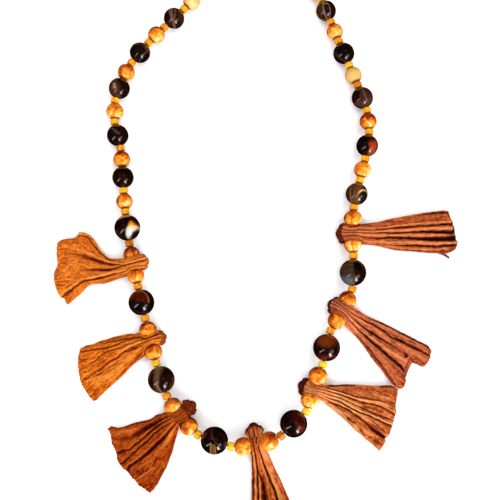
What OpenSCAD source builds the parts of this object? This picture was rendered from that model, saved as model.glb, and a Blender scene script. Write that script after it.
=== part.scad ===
// Bead necklace laid flat: dark polished beads, light wooden beads, small
// cylinder spacers and seven pleated bark cloth fans on one thread, closed by
// a plain barrel clasp. Millimetres, +Z up, the surface it lies on is z = 0.
// +Y points from the front of the necklace to the back of the neck.

/* [Beads] */
// Diameter of the largest dark bead
big_d = 12; // [10:0.5:14]
// Diameter of the largest of the smaller dark beads
small_d = 10.2; // [8.2:0.5:11.2]
// Usual diameter of a light wooden bead
light_d = 8; // [7:0.25:8.5]
// Length of a dark bead along the thread, as a share of its diameter
dark_len = 0.97; // [0.9:0.01:0.99]
// Length of a light bead along the thread, as a share of its diameter
light_len = 0.91; // [0.86:0.01:0.95]
// Diameter of a spacer
spacer_d = 3.9; // [3.4:0.1:4.5]
// Length of a spacer along the thread
spacer_l = 2.8; // [2.4:0.1:4]
// Diameter of the hole through every bead
hole_d = 2; // [1.8:0.1:2.4]
// Free play between neighbouring beads
play = 0.3; // [0.3:0.05:0.5]

/* [Thread and clasp] */
// Diameter of the thread
thread_d = 0.9; // [0.6:0.1:1]
// Diameter of the barrel clasp
clasp_d = 6; // [5:0.5:8]
// Length of the barrel clasp
clasp_l = 13; // [10:1:16]
// Height of the thread at the clasp
clasp_z = 4.6; // [4.4:0.2:5]

/* [Bark cloth fans] */
// Thickness of one layer of cloth
cloth_t = 1.1; // [1:0.1:1.3]
// Room that the cloth takes on the thread between two light beads
fan_gap = 3.6; // [3:0.2:5]
// Height of the pleats at the outer end, middle to crest
pleat_h = 0.9; // [0.4:0.1:1.2]
// Half the width of the rolled fold inside the necklace
head_half = 3.4; // [2.6:0.2:4]
// Distance from the thread to the start of the rolled fold
head_in = 5; // [4:0.5:6]

/* [Hidden] */
$fn = 48;
eps = 0.01;

// Stringing chart, from the last bead of the left side at the back, round the
// front and up the right side. B big dark, D small dark, L light, s spacer,
// F fan, C clasp. The last twelve letters are behind the neck.
front_chart = "LsDsLsDsLDsLsDsLDsLsBsLFLsBsLFLsBsLFLsBsLFLsBsLFLsBsLFLsBsLFLsDsLsDsLsDsLsDsLsDs";
back_chart = "LsDsLsCsLsDs";
chart = str(front_chart, back_chart);
n = len(chart);
n_front = len(front_chart);

// Each bead's diameter as a share of its kind's size above
big_share = [0.98, 0.96, 0.98, 0.99, 0.99, 1, 1];
small_share = [0.99, 0.97, 0.97, 1, 0.97, 1, 1, 1, 0.99, 0.95];
light_share = [
    1, 1, 1, 1, 0.98, 0.94, 0.93, 0.95, 0.96, 0.98, 0.98, 1,
    1, 1.03, 1, 1.05, 1, 1, 1, 1.03, 0.98, 1, 1, 0.97
];
// Each fan's room on the thread as a share of fan_gap
fan_share = [0.8, 0.78, 1.05, 1.2, 0.9, 0.9, 1.25];
// How far before the route's first point the chart begins
lead = 4.8;

// Route of the thread seen from above, by hand
// [across x, back y]
route = [
    [-29, 121.5], [-36.5, 113.5], [-45, 105], [-53, 95.5], [-58.5, 86.5],
    [-62, 77], [-64, 65.5], [-61, 53], [-59, 41.5], [-58.5, 32],
    [-57, 20.5], [-55.5, 8.5], [-52, -8], [-48, -25], [-43.5, -41.5],
    [-39, -58], [-34, -68.5], [-26, -79], [-15, -84], [-3, -87],
    [8.5, -84.5], [18, -78], [25, -70.5], [27, -62.5], [31, -54],
    [33, -45], [36, -35.5], [40.5, -28.5], [45, -20.5], [46, -12],
    [46.5, -3], [46, 7], [47, 17], [48.5, 25.5], [54.5, 48],
    [55.5, 60], [53.5, 71.5], [45, 94.5], [37, 116.5], [31, 130.5],
    [19, 141.5], [3, 144.5], [-14.5, 136.5]
];
// The route is drawn about this point, which becomes x = 0, y = 0
middle = [2.5, 12.3];

function mix(a, b, t) = a + (b - a) * t;
function unit(v) = v / norm(v);
function flat(p, z) = [p.x, p.y, z];

// Smooth closed curve through the route, eight steps a leg
steps = 8;
m = len(route);
function bend(a, b, c, d, t) = 0.5 * (2 * b + (c - a) * t
    + (2 * a - 5 * b + 4 * c - d) * t * t + (3 * b - a - 3 * c + d) * t * t * t);
curve = [for (i = [0:m - 1]) for (j = [0:steps - 1])
    bend(route[(i + m - 1) % m], route[i], route[(i + 1) % m], route[(i + 2) % m], j / steps) - middle];
nc = len(curve);
run = [for (i = 0, s = 0; i <= nc; s = s + norm(curve[(i + 1) % nc] - curve[i % nc]), i = i + 1) s];
run_x = [for (i = [0:nc]) [run[i], curve[i % nc].x]];
run_y = [for (i = [0:nc]) [run[i], curve[i % nc].y]];

// How many of a letter come before place i
function nth(i) = len([for (k = [0:1:i - 1]) if (chart[k] == chart[i]) k]);
function dia(i) = chart[i] == "L" ? light_d * (nth(i) < len(light_share) ? light_share[nth(i)] : 1)
    : chart[i] == "B" ? big_d * big_share[nth(i)]
    : chart[i] == "D" ? small_d * (nth(i) < len(small_share) ? small_share[nth(i)] : 0.95)
    : chart[i] == "C" ? clasp_d : spacer_d;
function length(i) = chart[i] == "B" || chart[i] == "D" ? dia(i) * dark_len
    : chart[i] == "L" ? dia(i) * light_len
    : chart[i] == "C" ? clasp_l
    : chart[i] == "F" ? fan_gap * fan_share[nth(i)] : spacer_l;
function play_after(i) = chart[i] == "F" || chart[(i + 1) % n] == "F" ? 0 : play;
lengths = [for (i = [0:n - 1]) length(i)];
starts = [for (i = 0, s = 0; i < n; s = s + lengths[i] + play_after(i), i = i + 1) s];
total = starts[n - 1] + lengths[n - 1] + play_after(n - 1);

// The whole loop is as long as what is strung on it
grow = total / run[nc];
function at(s) = let (w = s - lead, q = (w < 0 ? w + total : w > total ? w - total : w) / grow)
    grow * [lookup(q, run_x), lookup(q, run_y)];

// The thread bends only inside spacers and cloth and where two beads touch
function soft(i) = chart[i] == "s" || chart[i] == "F";
function before(i) = let (k = (i + n - 1) % n)
    soft(k) ? starts[i] - play_after(k) - lengths[k] / 2 : starts[i] - play_after(k) / 2;
function after(i) = let (k = (i + 1) % n)
    soft(k) ? starts[i] + lengths[i] + play_after(i) + lengths[k] / 2 : starts[i] + lengths[i] + play_after(i) / 2;
function is(i, letter) = chart[(i + n) % n] == letter;
fan_z = 5.7;
// Height of the thread where it bends, before or after bead i: the dark beads
// lie on the surface and carry the light ones between them
function z_between(a, b) = is(a, "B") || is(b, "B") ? big_d / 2
    : is(a, "D") || is(b, "D") ? small_d / 2
    : is(a, "C") || is(b, "C") ? clasp_z : fan_z;
function z_before(i) = soft((i + n - 1) % n) ? z_between(i, i + n - 2) : z_between(i, i + n - 1);
function z_after(i) = soft((i + 1) % n) ? z_between(i, i + 2) : z_between(i, i + 1);
function p_before(i) = flat(at(before(i)), z_before(i));
function p_after(i) = flat(at(after(i)), z_after(i));
function bead_dir(i) = unit(p_after(i) - p_before(i));
function bead_mid(i) = mix(p_before(i), p_after(i),
    (starts[i] + lengths[i] / 2 - before(i)) / (after(i) - before(i)));
function soft_mid(i) = p_after((i + n - 1) % n);
function soft_dir(i) = unit(p_after((i + 1) % n) - p_before((i + n - 1) % n));

function places(letter, last) = [for (i = [0:1:last - 1]) if (chart[i] == letter) i];
bigs = places("B", n_front);
smalls = places("D", n_front);
lights = places("L", n_front);
fans = places("F", n_front);
spacers = places("s", n_front);
clasps = places("C", n);

module along(p, d) {
    translate(p) rotate([0, acos(d.z), atan2(d.y, d.x)]) children();
}

// A ball with flat ends, as long as its place on the thread
module ball(i) {
    along(bead_mid(i), bead_dir(i)) intersection() {
        sphere(d = dia(i));
        cylinder(d = dia(i) + 2, h = lengths[i], center = true);
    }
}
module bored(i) {
    along(bead_mid(i), bead_dir(i)) difference() {
        intersection() {
            sphere(d = dia(i));
            cylinder(d = dia(i) + 2, h = lengths[i], center = true);
        }
        cylinder(d = hole_d, h = dia(i) + 4, center = true);
    }
}
module dark_big(k) { color([0.13, 0.07, 0.06]) bored(bigs[k - 1]); }
module dark_small(k) { color([0.17, 0.09, 0.07]) bored(smalls[k - 1]); }
module light(k) { color([0.93, 0.66, 0.28]) bored(lights[k - 1]); }

// A short ring with its outer edges worn off
edge = 0.65;
module ring(i, inner) {
    r = spacer_d / 2;
    h = lengths[i] / 2;
    along(soft_mid(i), soft_dir(i)) rotate_extrude() polygon([
        [inner, -h], [r - edge, -h], [r, edge - h], [r, h - edge], [r - edge, h], [inner, h]]);
}
// Spacers between two places of the chart
module spacers_between(a, b) {
    color([0.93, 0.68, 0.12]) for (i = spacers) if (i >= a && i < b) ring(i, hole_d / 2);
}
first_big = bigs[0];
last_big = bigs[6];
module spacers_left() { spacers_between(0, first_big); }
module spacers_front() { spacers_between(first_big, last_big + 5); }
module spacers_right() { spacers_between(last_big + 5, n_front); }

// Round tube with eight flat sides through the points p
sides = 8;
function ring_dir(p, i) = let (k = len(p) - 1)
    unit((i < k ? unit(p[i + 1] - p[i]) : [0, 0, 0]) + (i > 0 ? unit(p[i] - p[i - 1]) : [0, 0, 0]));
module tube(p, d) {
    k = len(p);
    pts = [for (i = [0:k - 1]) let (w = ring_dir(p, i), u = unit(cross(w, [0, 0, 1])), v = cross(u, w))
        for (j = [0:sides - 1]) p[i] + d / 2 * (cos(360 * j / sides) * u + sin(360 * j / sides) * v)];
    polyhedron(pts, concat(
        [[for (j = [0:sides - 1]) j]],
        [for (i = [0:k - 2]) for (j = [0:sides - 1]) let (h = (j + 1) % sides)
            [i * sides + j, (i + 1) * sides + j, (i + 1) * sides + h, i * sides + h]],
        [[for (j = [sides - 1:-1:0]) (k - 1) * sides + j]]));
}

// Thread of the part that shows: from the first light bead's outer end to the
// far face of the last spacer
hard = [for (i = [0:n_front - 1]) if (!soft(i)) i];
last = n_front - 1;
thread_path = concat(
    [bead_mid(0) - bead_dir(0) * (lengths[0] / 2)],
    [for (i = hard) p_after(i)],
    [soft_mid(last) + soft_dir(last) * (lengths[last] / 2)]);
module thread() { color([0.35, 0.2, 0.1]) tube(thread_path, thread_d); }

// Behind the neck the beads are joined along their thread
tuck = 4;
module strand(a, b, from, to) {
    for (i = [a:b]) if (!soft(i)) {
        ball(i);
        if (i > a) link(bead_mid(i), p_before(i), 0.3);
        if (i < b) link(bead_mid(i), p_after(i), 0.3);
    } else ring(i, 0);
    link(from, to, 0);
}
// Thread from p to q, and a little past q
module link(p, q, past) {
    along(p, unit(q - p)) cylinder(d = thread_d, h = norm(q - p) + past);
}
clasp = clasps[0];
clasp_in = bead_mid(clasp) - bead_dir(clasp) * (clasp_l / 2 - tuck);
clasp_out = bead_mid(clasp) + bead_dir(clasp) * (clasp_l / 2 - tuck);
module back_right() {
    color([0.4, 0.22, 0.12]) strand(n_front, clasp - 1, p_before(clasp), clasp_in);
}
module back_left() {
    color([0.4, 0.22, 0.12]) strand(clasp + 1, n - 1, p_after(clasp), clasp_out);
}
module barrel_clasp() {
    r = clasp_d / 2;
    h = clasp_l / 2 - 0.3;
    // the ends narrow in two steps
    color([0.75, 0.6, 0.3]) along(bead_mid(clasp), bead_dir(clasp)) rotate_extrude() polygon([
        [hole_d / 2, -h], [0.38 * r, -h], [0.75 * r, 0.8 - h], [r, 2.2 - h],
        [r, h - 2.2], [0.75 * r, h - 0.8], [0.38 * r, h], [hole_d / 2, h]]);
}

// Fans. aim is the way the fan points, in degrees from +X. show_a and show_b
// are how far the lower layer shows past the upper one on its two edges.
// [aim, show_a, show_b]
fan_set = [
    [182, 0.6, 0.7], [210, 2.4, 0.7], [230, 2.2, 0.8], [273, 0.6, 0.7],
    [338, 0.7, 1.0], [325, 0.6, 0.7], [0, 0.7, 0.9]
];
// Sections of each fan from the thread outward. Every row is a straight cut
// across the cloth from its edge a to its edge b, in the fan's own frame: out
// is along its aim, side is to the left of its aim, and bulge is how far the
// middle of the cut stands out.
// [a_out, a_side, b_out, b_side, bulge]
fan_rows = [
    [[6, -3.6, 5.5, 4, 0], [13, -4.9, 11.5, 7, 0], [20, -13.2, 20, 8.4, 0.5], [27, -16, 25.5, 12, 2], [33.5, -12.5, 31, 17, 4.2]],
    [[7, -6.8, 6.5, 4.2, 0], [12, -9.6, 12, 5.6, 0], [18, -11.2, 18, 6.9, 0.5], [25, -12.3, 25, 8.3, 1.5], [30, -12.2, 33.5, 10.8, 3.8]],
    [[6.5, -8.4, 7, 3.6, 0], [11, -10.6, 12.5, 6.3, 0.5], [16, -14.3, 18, 8.4, 1.5], [20, -17, 25, 10, 2.5], [24, -21.3, 33, 10.8, 3.4]],
    [[6, -2.6, 6, 5.2, 0], [12, -2.7, 12, 8, 0.3], [19, -3.1, 19, 11, 0.8], [27, -3.7, 27, 13.8, 1.6], [34, -4.2, 33, 15.5, 2.6]],
    [[6.5, -3.2, 6, 4.7, 0], [13, -5.2, 13, 7.8, 0.3], [20, -7.7, 20, 10.3, 0.8], [27, -10.4, 28, 13, 1.6], [35, -13.4, 33.2, 14.2, 2.6]],
    [[7, -3.8, 7, 5, 0], [14, -5.9, 14, 6.1, 0.3], [22, -9, 22, 7.6, 0.8], [31, -11.8, 32, 9.1, 1.4], [38.6, -13.4, 42, 10, 2.2]],
    [[8, -4.4, 8, 5.6, 0], [16, -5.7, 16, 7, 0.3], [25, -7.3, 25, 8.6, 0.8], [35, -8.3, 35, 10.4, 1.4], [45, -8.3, 45.5, 11.4, 2.4]]
];
// Valleys of the pleats, as shares of the width from edge a to edge b
fan_valleys = [
    [0.08, 0.28, 0.52, 0.84], [0.1, 0.28, 0.5, 0.78], [0.2, 0.42, 0.64, 0.86], [0.16, 0.34, 0.6, 0.84],
    [0.2, 0.4, 0.6, 0.8], [0.14, 0.34, 0.6, 0.86], [0.18, 0.36, 0.54, 0.74]
];

// Places across the cloth and their heights: edges level, valleys down, the
// crests half way between two valleys
function across(v) = let (k = len(v)) concat([[0, 0], [v[0] / 2, 1]],
    [for (i = [0:k - 1]) each [[v[i], -1], [(v[i] + (i < k - 1 ? v[i + 1] : 1)) / 2, 1]]], [[1, 0]]);
function dir2(a) = [cos(a), sin(a)];
function ease(x) = let (t = max(0, min(1, x))) t * t * (3 - 2 * t);

low_z = 0.75;
lap = cloth_t + 0.35;
neck_z = fan_z + thread_d / 2 + cloth_t / 2 + 0.5;
head_z = 5.2;
head_r = 1.9;
near_pleat = 0.2;

// One ring of a fan: [edge a, edge b, way it bulges, pleat height, way the
// pleat stands, way through the cloth]
up = [0, 0, 1];
function fan_rings(k) =
    let (i = fans[k], o = soft_mid(i), s = soft_dir(i), aim = fan_set[k][0],
        u = dir2(aim), side = dir2(aim + 90),
        flip = [s.x, s.y] * side < 0 ? -1 : 1,
        t = unit(flip * [s.x, s.y]), out = [t.y, -t.x],
        rows = fan_rows[k],
        cut = function (out_by, half, z) [
            flat([o.x, o.y] + out * out_by - t * half, z),
            flat([o.x, o.y] + out * out_by + t * half, z)],
        row = function (r, z, in_a, in_b) [
            flat([o.x, o.y] + u * r[0] + side * (r[1] + in_a), z),
            flat([o.x, o.y] + u * r[2] + side * (r[3] - in_b), z)],
        pleat = function (j) near_pleat + (pleat_h - near_pleat) * ease((j + 1) / 4),
        neck_half = lengths[i] / 2 - 0.35,
        full = [for (j = [0:0.5:4]) j],
        at_row = function (j) let (a = floor(j), b = min(4, a + 1)) mix(rows[a], rows[b], j - a))
    concat(
        [for (q = [8:-1:0]) let (j = full[q], r = at_row(j), h = pleat(j))
            concat(row(r, low_z + h, 0, 0), [r[4] * flat(u, 0), h, up, -up])],
        [for (c = [[2.6, 3.8], [-2.4, 3.2], [-head_in, head_half]])
            concat(cut(c[0], c[1], low_z + near_pleat), [[0, 0, 0], near_pleat, up, -up])],
        [for (f = [-60:30:60]) let (w = -cos(f) * flat(out, 0),
                mid_z = (head_z + low_z + near_pleat) / 2, rz = (head_z - low_z - near_pleat) / 2,
                c = cut(-head_in - head_r * cos(f), head_half + 0.2 * cos(f), mid_z + rz * sin(f)))
            concat(c, [[0, 0, 0], near_pleat, abs(sin(f)) * up + w, unit(sin(f) * up + w)])],
        [for (c = [[-head_in, head_half, head_z], [-3.2, neck_half - 0.25, (head_z + neck_z) / 2], [0, neck_half, neck_z], [3.2, neck_half + 0.2, neck_z - 1]])
            concat(cut(c[0], c[1], c[2]), [[0, 0, 0], near_pleat, up, up])],
        [for (q = [0:8]) let (j = full[q], r = at_row(j), h = pleat(j),
                z = low_z + h + lap + 1.4 * (1 - ease(j)))
            concat(row(r, z, fan_set[k][1], fan_set[k][2]), [r[4] * flat(u, 0), h, up, up])]);

module fan(k) {
    rings = fan_rings(k - 1);
    cols = across(fan_valleys[k - 1]);
    nr = len(rings);
    na = len(cols);
    pts = [for (r = rings) for (s = [1, -1]) for (c = cols)
        mix(r[0], r[1], c[0]) + r[2] * (4 * c[0] * (1 - c[0])) + r[4] * (c[1] * r[3]) + r[5] * (s * cloth_t / 2)];
    w = 2 * na;
    polyhedron(pts, concat(
        [for (i = [0:nr - 2]) for (j = [0:na - 2]) each [
            [i * w + j, i * w + j + 1, (i + 1) * w + j + 1], [i * w + j, (i + 1) * w + j + 1, (i + 1) * w + j],
            [i * w + na + j, (i + 1) * w + na + j + 1, i * w + na + j + 1], [i * w + na + j, (i + 1) * w + na + j, (i + 1) * w + na + j + 1]]],
        [for (i = [0:nr - 2]) each [
            [i * w, (i + 1) * w, (i + 1) * w + na], [i * w, (i + 1) * w + na, i * w + na],
            [i * w + na - 1, (i + 1) * w + 2 * na - 1, (i + 1) * w + na - 1], [i * w + na - 1, i * w + 2 * na - 1, (i + 1) * w + 2 * na - 1]]],
        [for (j = [0:na - 2]) each [
            [j, na + j, na + j + 1], [j, na + j + 1, j + 1],
            [(nr - 1) * w + j, (nr - 1) * w + na + j + 1, (nr - 1) * w + na + j], [(nr - 1) * w + j, (nr - 1) * w + j + 1, (nr - 1) * w + na + j + 1]]]));
}
module fan_cloth(k) { color([0.75, 0.38, 0.12]) fan(k); }

for (k = [1:len(bigs)]) dark_big(k);
for (k = [1:len(smalls)]) dark_small(k);
for (k = [1:len(lights)]) light(k);
for (k = [1:len(fans)]) fan_cloth(k);
spacers_left();
spacers_front();
spacers_right();
thread();
back_left();
back_right();
barrel_clasp();
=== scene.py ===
import math
from bisect import bisect_right

import bpy
from mathutils import Matrix, Vector, noise

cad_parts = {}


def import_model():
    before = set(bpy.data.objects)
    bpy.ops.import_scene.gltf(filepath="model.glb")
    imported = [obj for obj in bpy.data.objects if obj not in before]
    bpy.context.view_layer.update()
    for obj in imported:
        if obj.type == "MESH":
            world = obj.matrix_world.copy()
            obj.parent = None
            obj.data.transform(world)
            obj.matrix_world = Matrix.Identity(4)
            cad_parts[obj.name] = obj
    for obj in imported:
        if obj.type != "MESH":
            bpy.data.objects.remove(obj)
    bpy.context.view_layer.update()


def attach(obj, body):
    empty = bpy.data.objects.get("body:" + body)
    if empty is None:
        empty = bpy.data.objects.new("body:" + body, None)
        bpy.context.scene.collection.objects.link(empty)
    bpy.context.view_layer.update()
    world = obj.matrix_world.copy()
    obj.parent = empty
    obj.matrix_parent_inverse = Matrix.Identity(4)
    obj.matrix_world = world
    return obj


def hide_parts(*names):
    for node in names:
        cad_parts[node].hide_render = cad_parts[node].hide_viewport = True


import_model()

MM = 0.001

# ---------------------------------------------------------------- the string
# The same chart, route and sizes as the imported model, in millimetres.
FRONT = "LsDsLsDsLDsLsDsLDsLsBsLFLsBsLFLsBsLFLsBsLFLsBsLFLsBsLFLsBsLFLsDsLsDsLsDsLsDsLsDs"
CHART = FRONT + "LsDsLsCsLsDs"
N, NF = len(CHART), len(FRONT)
BIG, SMALL, LIGHT, SPACER, SPACER_L = 12.0, 10.2, 8.0, 3.9, 2.8
DARK_LEN, LIGHT_LEN, PLAY, HOLE, FAN_GAP = 0.97, 0.91, 0.3, 2.0, 3.6
CLASP_D, CLASP_L, CLASP_Z, THREAD_D, CLOTH = 6.0, 13.0, 4.6, 0.9, 1.1
PLEAT, HEAD_HALF, HEAD_IN, FAN_Z = 0.9, 3.4, 5.0, 5.7
BIG_SHARE = [0.98, 0.96, 0.98, 0.99, 0.99, 1, 1]
SMALL_SHARE = [0.99, 0.97, 0.97, 1, 0.97, 1, 1, 1, 0.99, 0.95]
LIGHT_SHARE = [1, 1, 1, 1, 0.98, 0.94, 0.93, 0.95, 0.96, 0.98, 0.98, 1,
               1, 1.03, 1, 1.05, 1, 1, 1, 1.03, 0.98, 1, 1, 0.97]
FAN_SHARE = [0.8, 0.78, 1.05, 1.2, 0.9, 0.9, 1.25]
LEAD = 4.8
MIDDLE = (2.5, 12.3)
ROUTE = [
    (-29, 121.5), (-36.5, 113.5), (-45, 105), (-53, 95.5), (-58.5, 86.5),
    (-62, 77), (-64, 65.5), (-61, 53), (-59, 41.5), (-58.5, 32),
    (-57, 20.5), (-55.5, 8.5), (-52, -8), (-48, -25), (-43.5, -41.5),
    (-39, -58), (-34, -68.5), (-26, -79), (-15, -84), (-3, -87),
    (8.5, -84.5), (18, -78), (25, -70.5), (27, -62.5), (31, -54),
    (33, -45), (36, -35.5), (40.5, -28.5), (45, -20.5), (46, -12),
    (46.5, -3), (46, 7), (47, 17), (48.5, 25.5), (54.5, 48),
    (55.5, 60), (53.5, 71.5), (45, 94.5), (37, 116.5), (31, 130.5),
    (19, 141.5), (3, 144.5), (-14.5, 136.5),
]


def nth(i):
    return CHART[:i].count(CHART[i])


def share(table, k, rest):
    return table[k] if k < len(table) else rest


def dia(i):
    c = CHART[i]
    if c == "L":
        return LIGHT * share(LIGHT_SHARE, nth(i), 1)
    if c == "B":
        return BIG * BIG_SHARE[nth(i)]
    if c == "D":
        return SMALL * share(SMALL_SHARE, nth(i), 0.95)
    return CLASP_D if c == "C" else SPACER


def length(i):
    c = CHART[i]
    if c in "BD":
        return dia(i) * DARK_LEN
    if c == "L":
        return dia(i) * LIGHT_LEN
    if c == "C":
        return CLASP_L
    return FAN_GAP * FAN_SHARE[nth(i)] if c == "F" else SPACER_L


def play_after(i):
    return 0 if CHART[i] == "F" or CHART[(i + 1) % N] == "F" else PLAY


LENGTHS = [length(i) for i in range(N)]
STARTS = [0.0]
for _i in range(N):
    STARTS.append(STARTS[-1] + LENGTHS[_i] + play_after(_i))
TOTAL = STARTS[N]


def bend(a, b, c, d, t):
    return tuple(0.5 * (2 * q + (r - p) * t + (2 * p - 5 * q + 4 * r - s) * t * t
                        + (3 * q - p - 3 * r + s) * t ** 3) for p, q, r, s in zip(a, b, c, d))


M = len(ROUTE)
CURVE = []
for _i in range(M):
    for _j in range(8):
        _p = bend(ROUTE[(_i - 1) % M], ROUTE[_i], ROUTE[(_i + 1) % M], ROUTE[(_i + 2) % M], _j / 8)
        CURVE.append(Vector((_p[0] - MIDDLE[0], _p[1] - MIDDLE[1])))
RUN = [0.0]
for _i in range(len(CURVE)):
    RUN.append(RUN[-1] + (CURVE[(_i + 1) % len(CURVE)] - CURVE[_i]).length)
GROW = TOTAL / RUN[-1]


def at(s):
    q = ((s - LEAD) % TOTAL) / GROW
    k = min(bisect_right(RUN, q) - 1, len(CURVE) - 1)
    a, b = CURVE[k], CURVE[(k + 1) % len(CURVE)]
    return GROW * a.lerp(b, (q - RUN[k]) / (RUN[k + 1] - RUN[k]))


def soft(i):
    return CHART[i % N] in "sF"


def before(i):
    k = (i - 1) % N
    return STARTS[i] - play_after(k) - LENGTHS[k] / 2 if soft(k) else STARTS[i] - play_after(k) / 2


def after(i):
    k = (i + 1) % N
    end = STARTS[i] + LENGTHS[i] + play_after(i)
    return end + LENGTHS[k] / 2 if soft(k) else end - play_after(i) / 2


def z_between(a, b):
    both = CHART[a % N] + CHART[b % N]
    if "B" in both:
        return BIG / 2
    if "D" in both:
        return SMALL / 2
    return CLASP_Z if "C" in both else FAN_Z


def p_before(i):
    p = at(before(i))
    return Vector((p.x, p.y, z_between(i, i - 2) if soft(i - 1) else z_between(i, i - 1)))


def p_after(i):
    p = at(after(i))
    return Vector((p.x, p.y, z_between(i, i + 2) if soft(i + 1) else z_between(i, i + 1)))


def bead_dir(i):
    return (p_after(i) - p_before(i)).normalized()


def bead_mid(i):
    t = (STARTS[i] + LENGTHS[i] / 2 - before(i)) / (after(i) - before(i))
    return p_before(i).lerp(p_after(i), t)


def soft_mid(i):
    return p_after((i - 1) % N)


def soft_dir(i):
    return (p_after((i + 1) % N) - p_before((i - 1) % N)).normalized()


def places(letter, first=0, last=NF):
    return [i for i in range(first, last) if CHART[i] == letter]


BIGS, SMALLS, LIGHTS, FANS = (places(c) for c in "BDLF")

# ---------------------------------------------------------------- the camera
# The photograph looks almost straight down, from a little in front.
ELEVATION = math.radians(78)
target = Vector((-MIDDLE[0] * GROW, -MIDDLE[1] * GROW + 0.87, 0)) * MM
cam_data = bpy.data.cameras.new("camera")
cam_data.lens = 788.3 / 500 * 36
cam_data.sensor_width = 36
cam_data.clip_start, cam_data.clip_end = 0.01, 20
cam = bpy.data.objects.new("camera", cam_data)
bpy.context.scene.collection.objects.link(cam)
cam.location = target + Vector((0, -math.cos(ELEVATION), math.sin(ELEVATION))) * 0.359
cam.rotation_euler = (math.pi / 2 - ELEVATION, 0, 0)
bpy.context.scene.camera = cam


def seen(x, y):
    """The way out of a ball at the point x to the right and y up of its middle, as the photograph sees it."""
    r = x * x + y * y
    w = math.sqrt(max(0.0, 1 - r))
    k = 1 if r <= 1 else 1 / math.sqrt(r)
    x, y = x * k, y * k
    s, c = math.sin(ELEVATION), math.cos(ELEVATION)
    return Vector((x, y * s - w * c, y * c + w * s))


# ---------------------------------------------------------------- mesh tools
def add_piece(name, verts, faces, mats, nodes=(), face_mats=None, smooth=True, attrs=None):
    """A mesh piece from points in millimetres, riding on the one body."""
    me = bpy.data.meshes.new(name)
    me.from_pydata([(v[0] * MM, v[1] * MM, v[2] * MM) for v in verts], [], faces)
    for m in mats:
        me.materials.append(m)
    if face_mats:
        me.polygons.foreach_set("material_index", face_mats)
    me.polygons.foreach_set("use_smooth", [smooth] * len(me.polygons))
    for key, values in (attrs or {}).items():
        if isinstance(values[0], (int, float)):
            a = me.attributes.new(key, "FLOAT", "POINT")
            a.data.foreach_set("value", [float(v) for v in values])
        else:
            a = me.attributes.new(key, "FLOAT_VECTOR", "POINT")
            a.data.foreach_set("vector", [float(c) for v in values for c in v])
    me.validate()
    me.update()
    ob = bpy.data.objects.new(name, me)
    bpy.context.scene.collection.objects.link(ob)
    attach(ob, "root")
    if nodes:
        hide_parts(*nodes)
    return ob


class Mesh:
    """Collects points, faces and point values for one piece."""

    def __init__(self):
        self.v, self.f, self.fm, self.at = [], [], [], {}

    def add(self, verts, faces, mat=0, **attrs):
        n = len(self.v)
        self.v += verts
        self.f += [tuple(k + n for k in f) for f in faces]
        self.fm += [mat] * len(faces)
        for key, values in attrs.items():
            self.at.setdefault(key, []).extend(values)


def frame_of(d):
    """Two directions square to d, the first level."""
    u = d.cross(Vector((0, 0, 1)))
    u = u.normalized() if u.length > 1e-6 else Vector((1, 0, 0))
    return u, u.cross(d).normalized()


def lathe(centre, d, profile, count):
    """Points of a closed profile [(along, radius)] turned about d, and its faces."""
    u, w = frame_of(d)
    verts, k = [], len(profile)
    for x, r in profile:
        for j in range(count):
            a = 2 * math.pi * j / count
            verts.append(centre + d * x + (u * math.cos(a) + w * math.sin(a)) * r)
    faces = [(i * count + j, ((i + 1) % k) * count + j,
              ((i + 1) % k) * count + (j + 1) % count, i * count + (j + 1) % count)
             for i in range(k) for j in range(count)]
    return verts, faces


def ease(x):
    x = max(0.0, min(1.0, x))
    return x * x * (3 - 2 * x)


def bead_profile(r, half, bore, lip, arcs):
    """Closed outline of a bored ball with flat ends and rounded lips: (along, radius)."""
    face = math.sqrt(max(0.01, r * r - half * half))
    a0 = math.acos(half / r) + 0.06
    outer = []
    for k in range(arcs + 1):
        a = a0 + (math.pi - 2 * a0) * k / arcs
        outer.append((-r * math.cos(a), r * math.sin(a)))
    ring = []
    for k in range(4):
        a = math.pi / 2 * k / 3
        ring.append((-half + lip * (1 - math.sin(a)), bore + lip * (1 - math.cos(a))))
    rim = [(-half + 0.0, max(bore + lip + 0.05, face - 0.28)), (-half + 0.04, max(bore + lip + 0.1, face - 0.08))]
    left = ring + rim
    right = [(-x, rr) for x, rr in reversed(left)]
    return left + outer + right + [(half * 0.4, bore), (-half * 0.4, bore)]


def bead(mesh, i, mat=0, lump=0.0, freq=1.4, seed=0.0, count=64, arcs=30, bore=HOLE / 2, squash=None, tone=None):
    """One bored bead, a little uneven: it only ever goes in from its true ball."""
    c, d = bead_mid(i), bead_dir(i)
    r, half = dia(i) / 2, LENGTHS[i] / 2
    u, w = frame_of(d)
    verts, faces = lathe(c, d, bead_profile(r, half, bore, 0.16 * r / 4, arcs), count)
    out, local, seeds = [], [], []
    shift = Vector((seed * 7.3, seed * 3.1, seed * 5.7))
    for v in verts:
        p = v - c
        n = p.normalized()
        reach = p.length / r
        keep = ease((reach - 0.75) / 0.2)
        k = 0.0
        if lump:
            k = lump * (0.5 + 0.5 * noise.noise(n * freq + shift)) + 0.25 * lump * (0.5 + 0.5 * noise.noise(n * freq * 3.1 + shift))
        k += 0.004 * (0.5 + 0.5 * noise.noise(n * 6 + shift))
        if squash:
            for way, depth, wide in squash:
                k += depth * ease((n.dot(way) - math.cos(wide)) / (1 - math.cos(wide)))
        q = c + p * (1 - k * keep)
        out.append(q)
        local.append(((p.dot(d)) / r, p.dot(u) / r, p.dot(w) / r))
        seeds.append(seed)
    if tone is None:
        mesh.add(out, faces, mat, bead=local, seed=seeds)
    else:
        mesh.add(out, faces, mat, bead=local, seed=seeds, tone=[tone] * len(out), out=[tuple((v - c) / r) for v in out])


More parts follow.
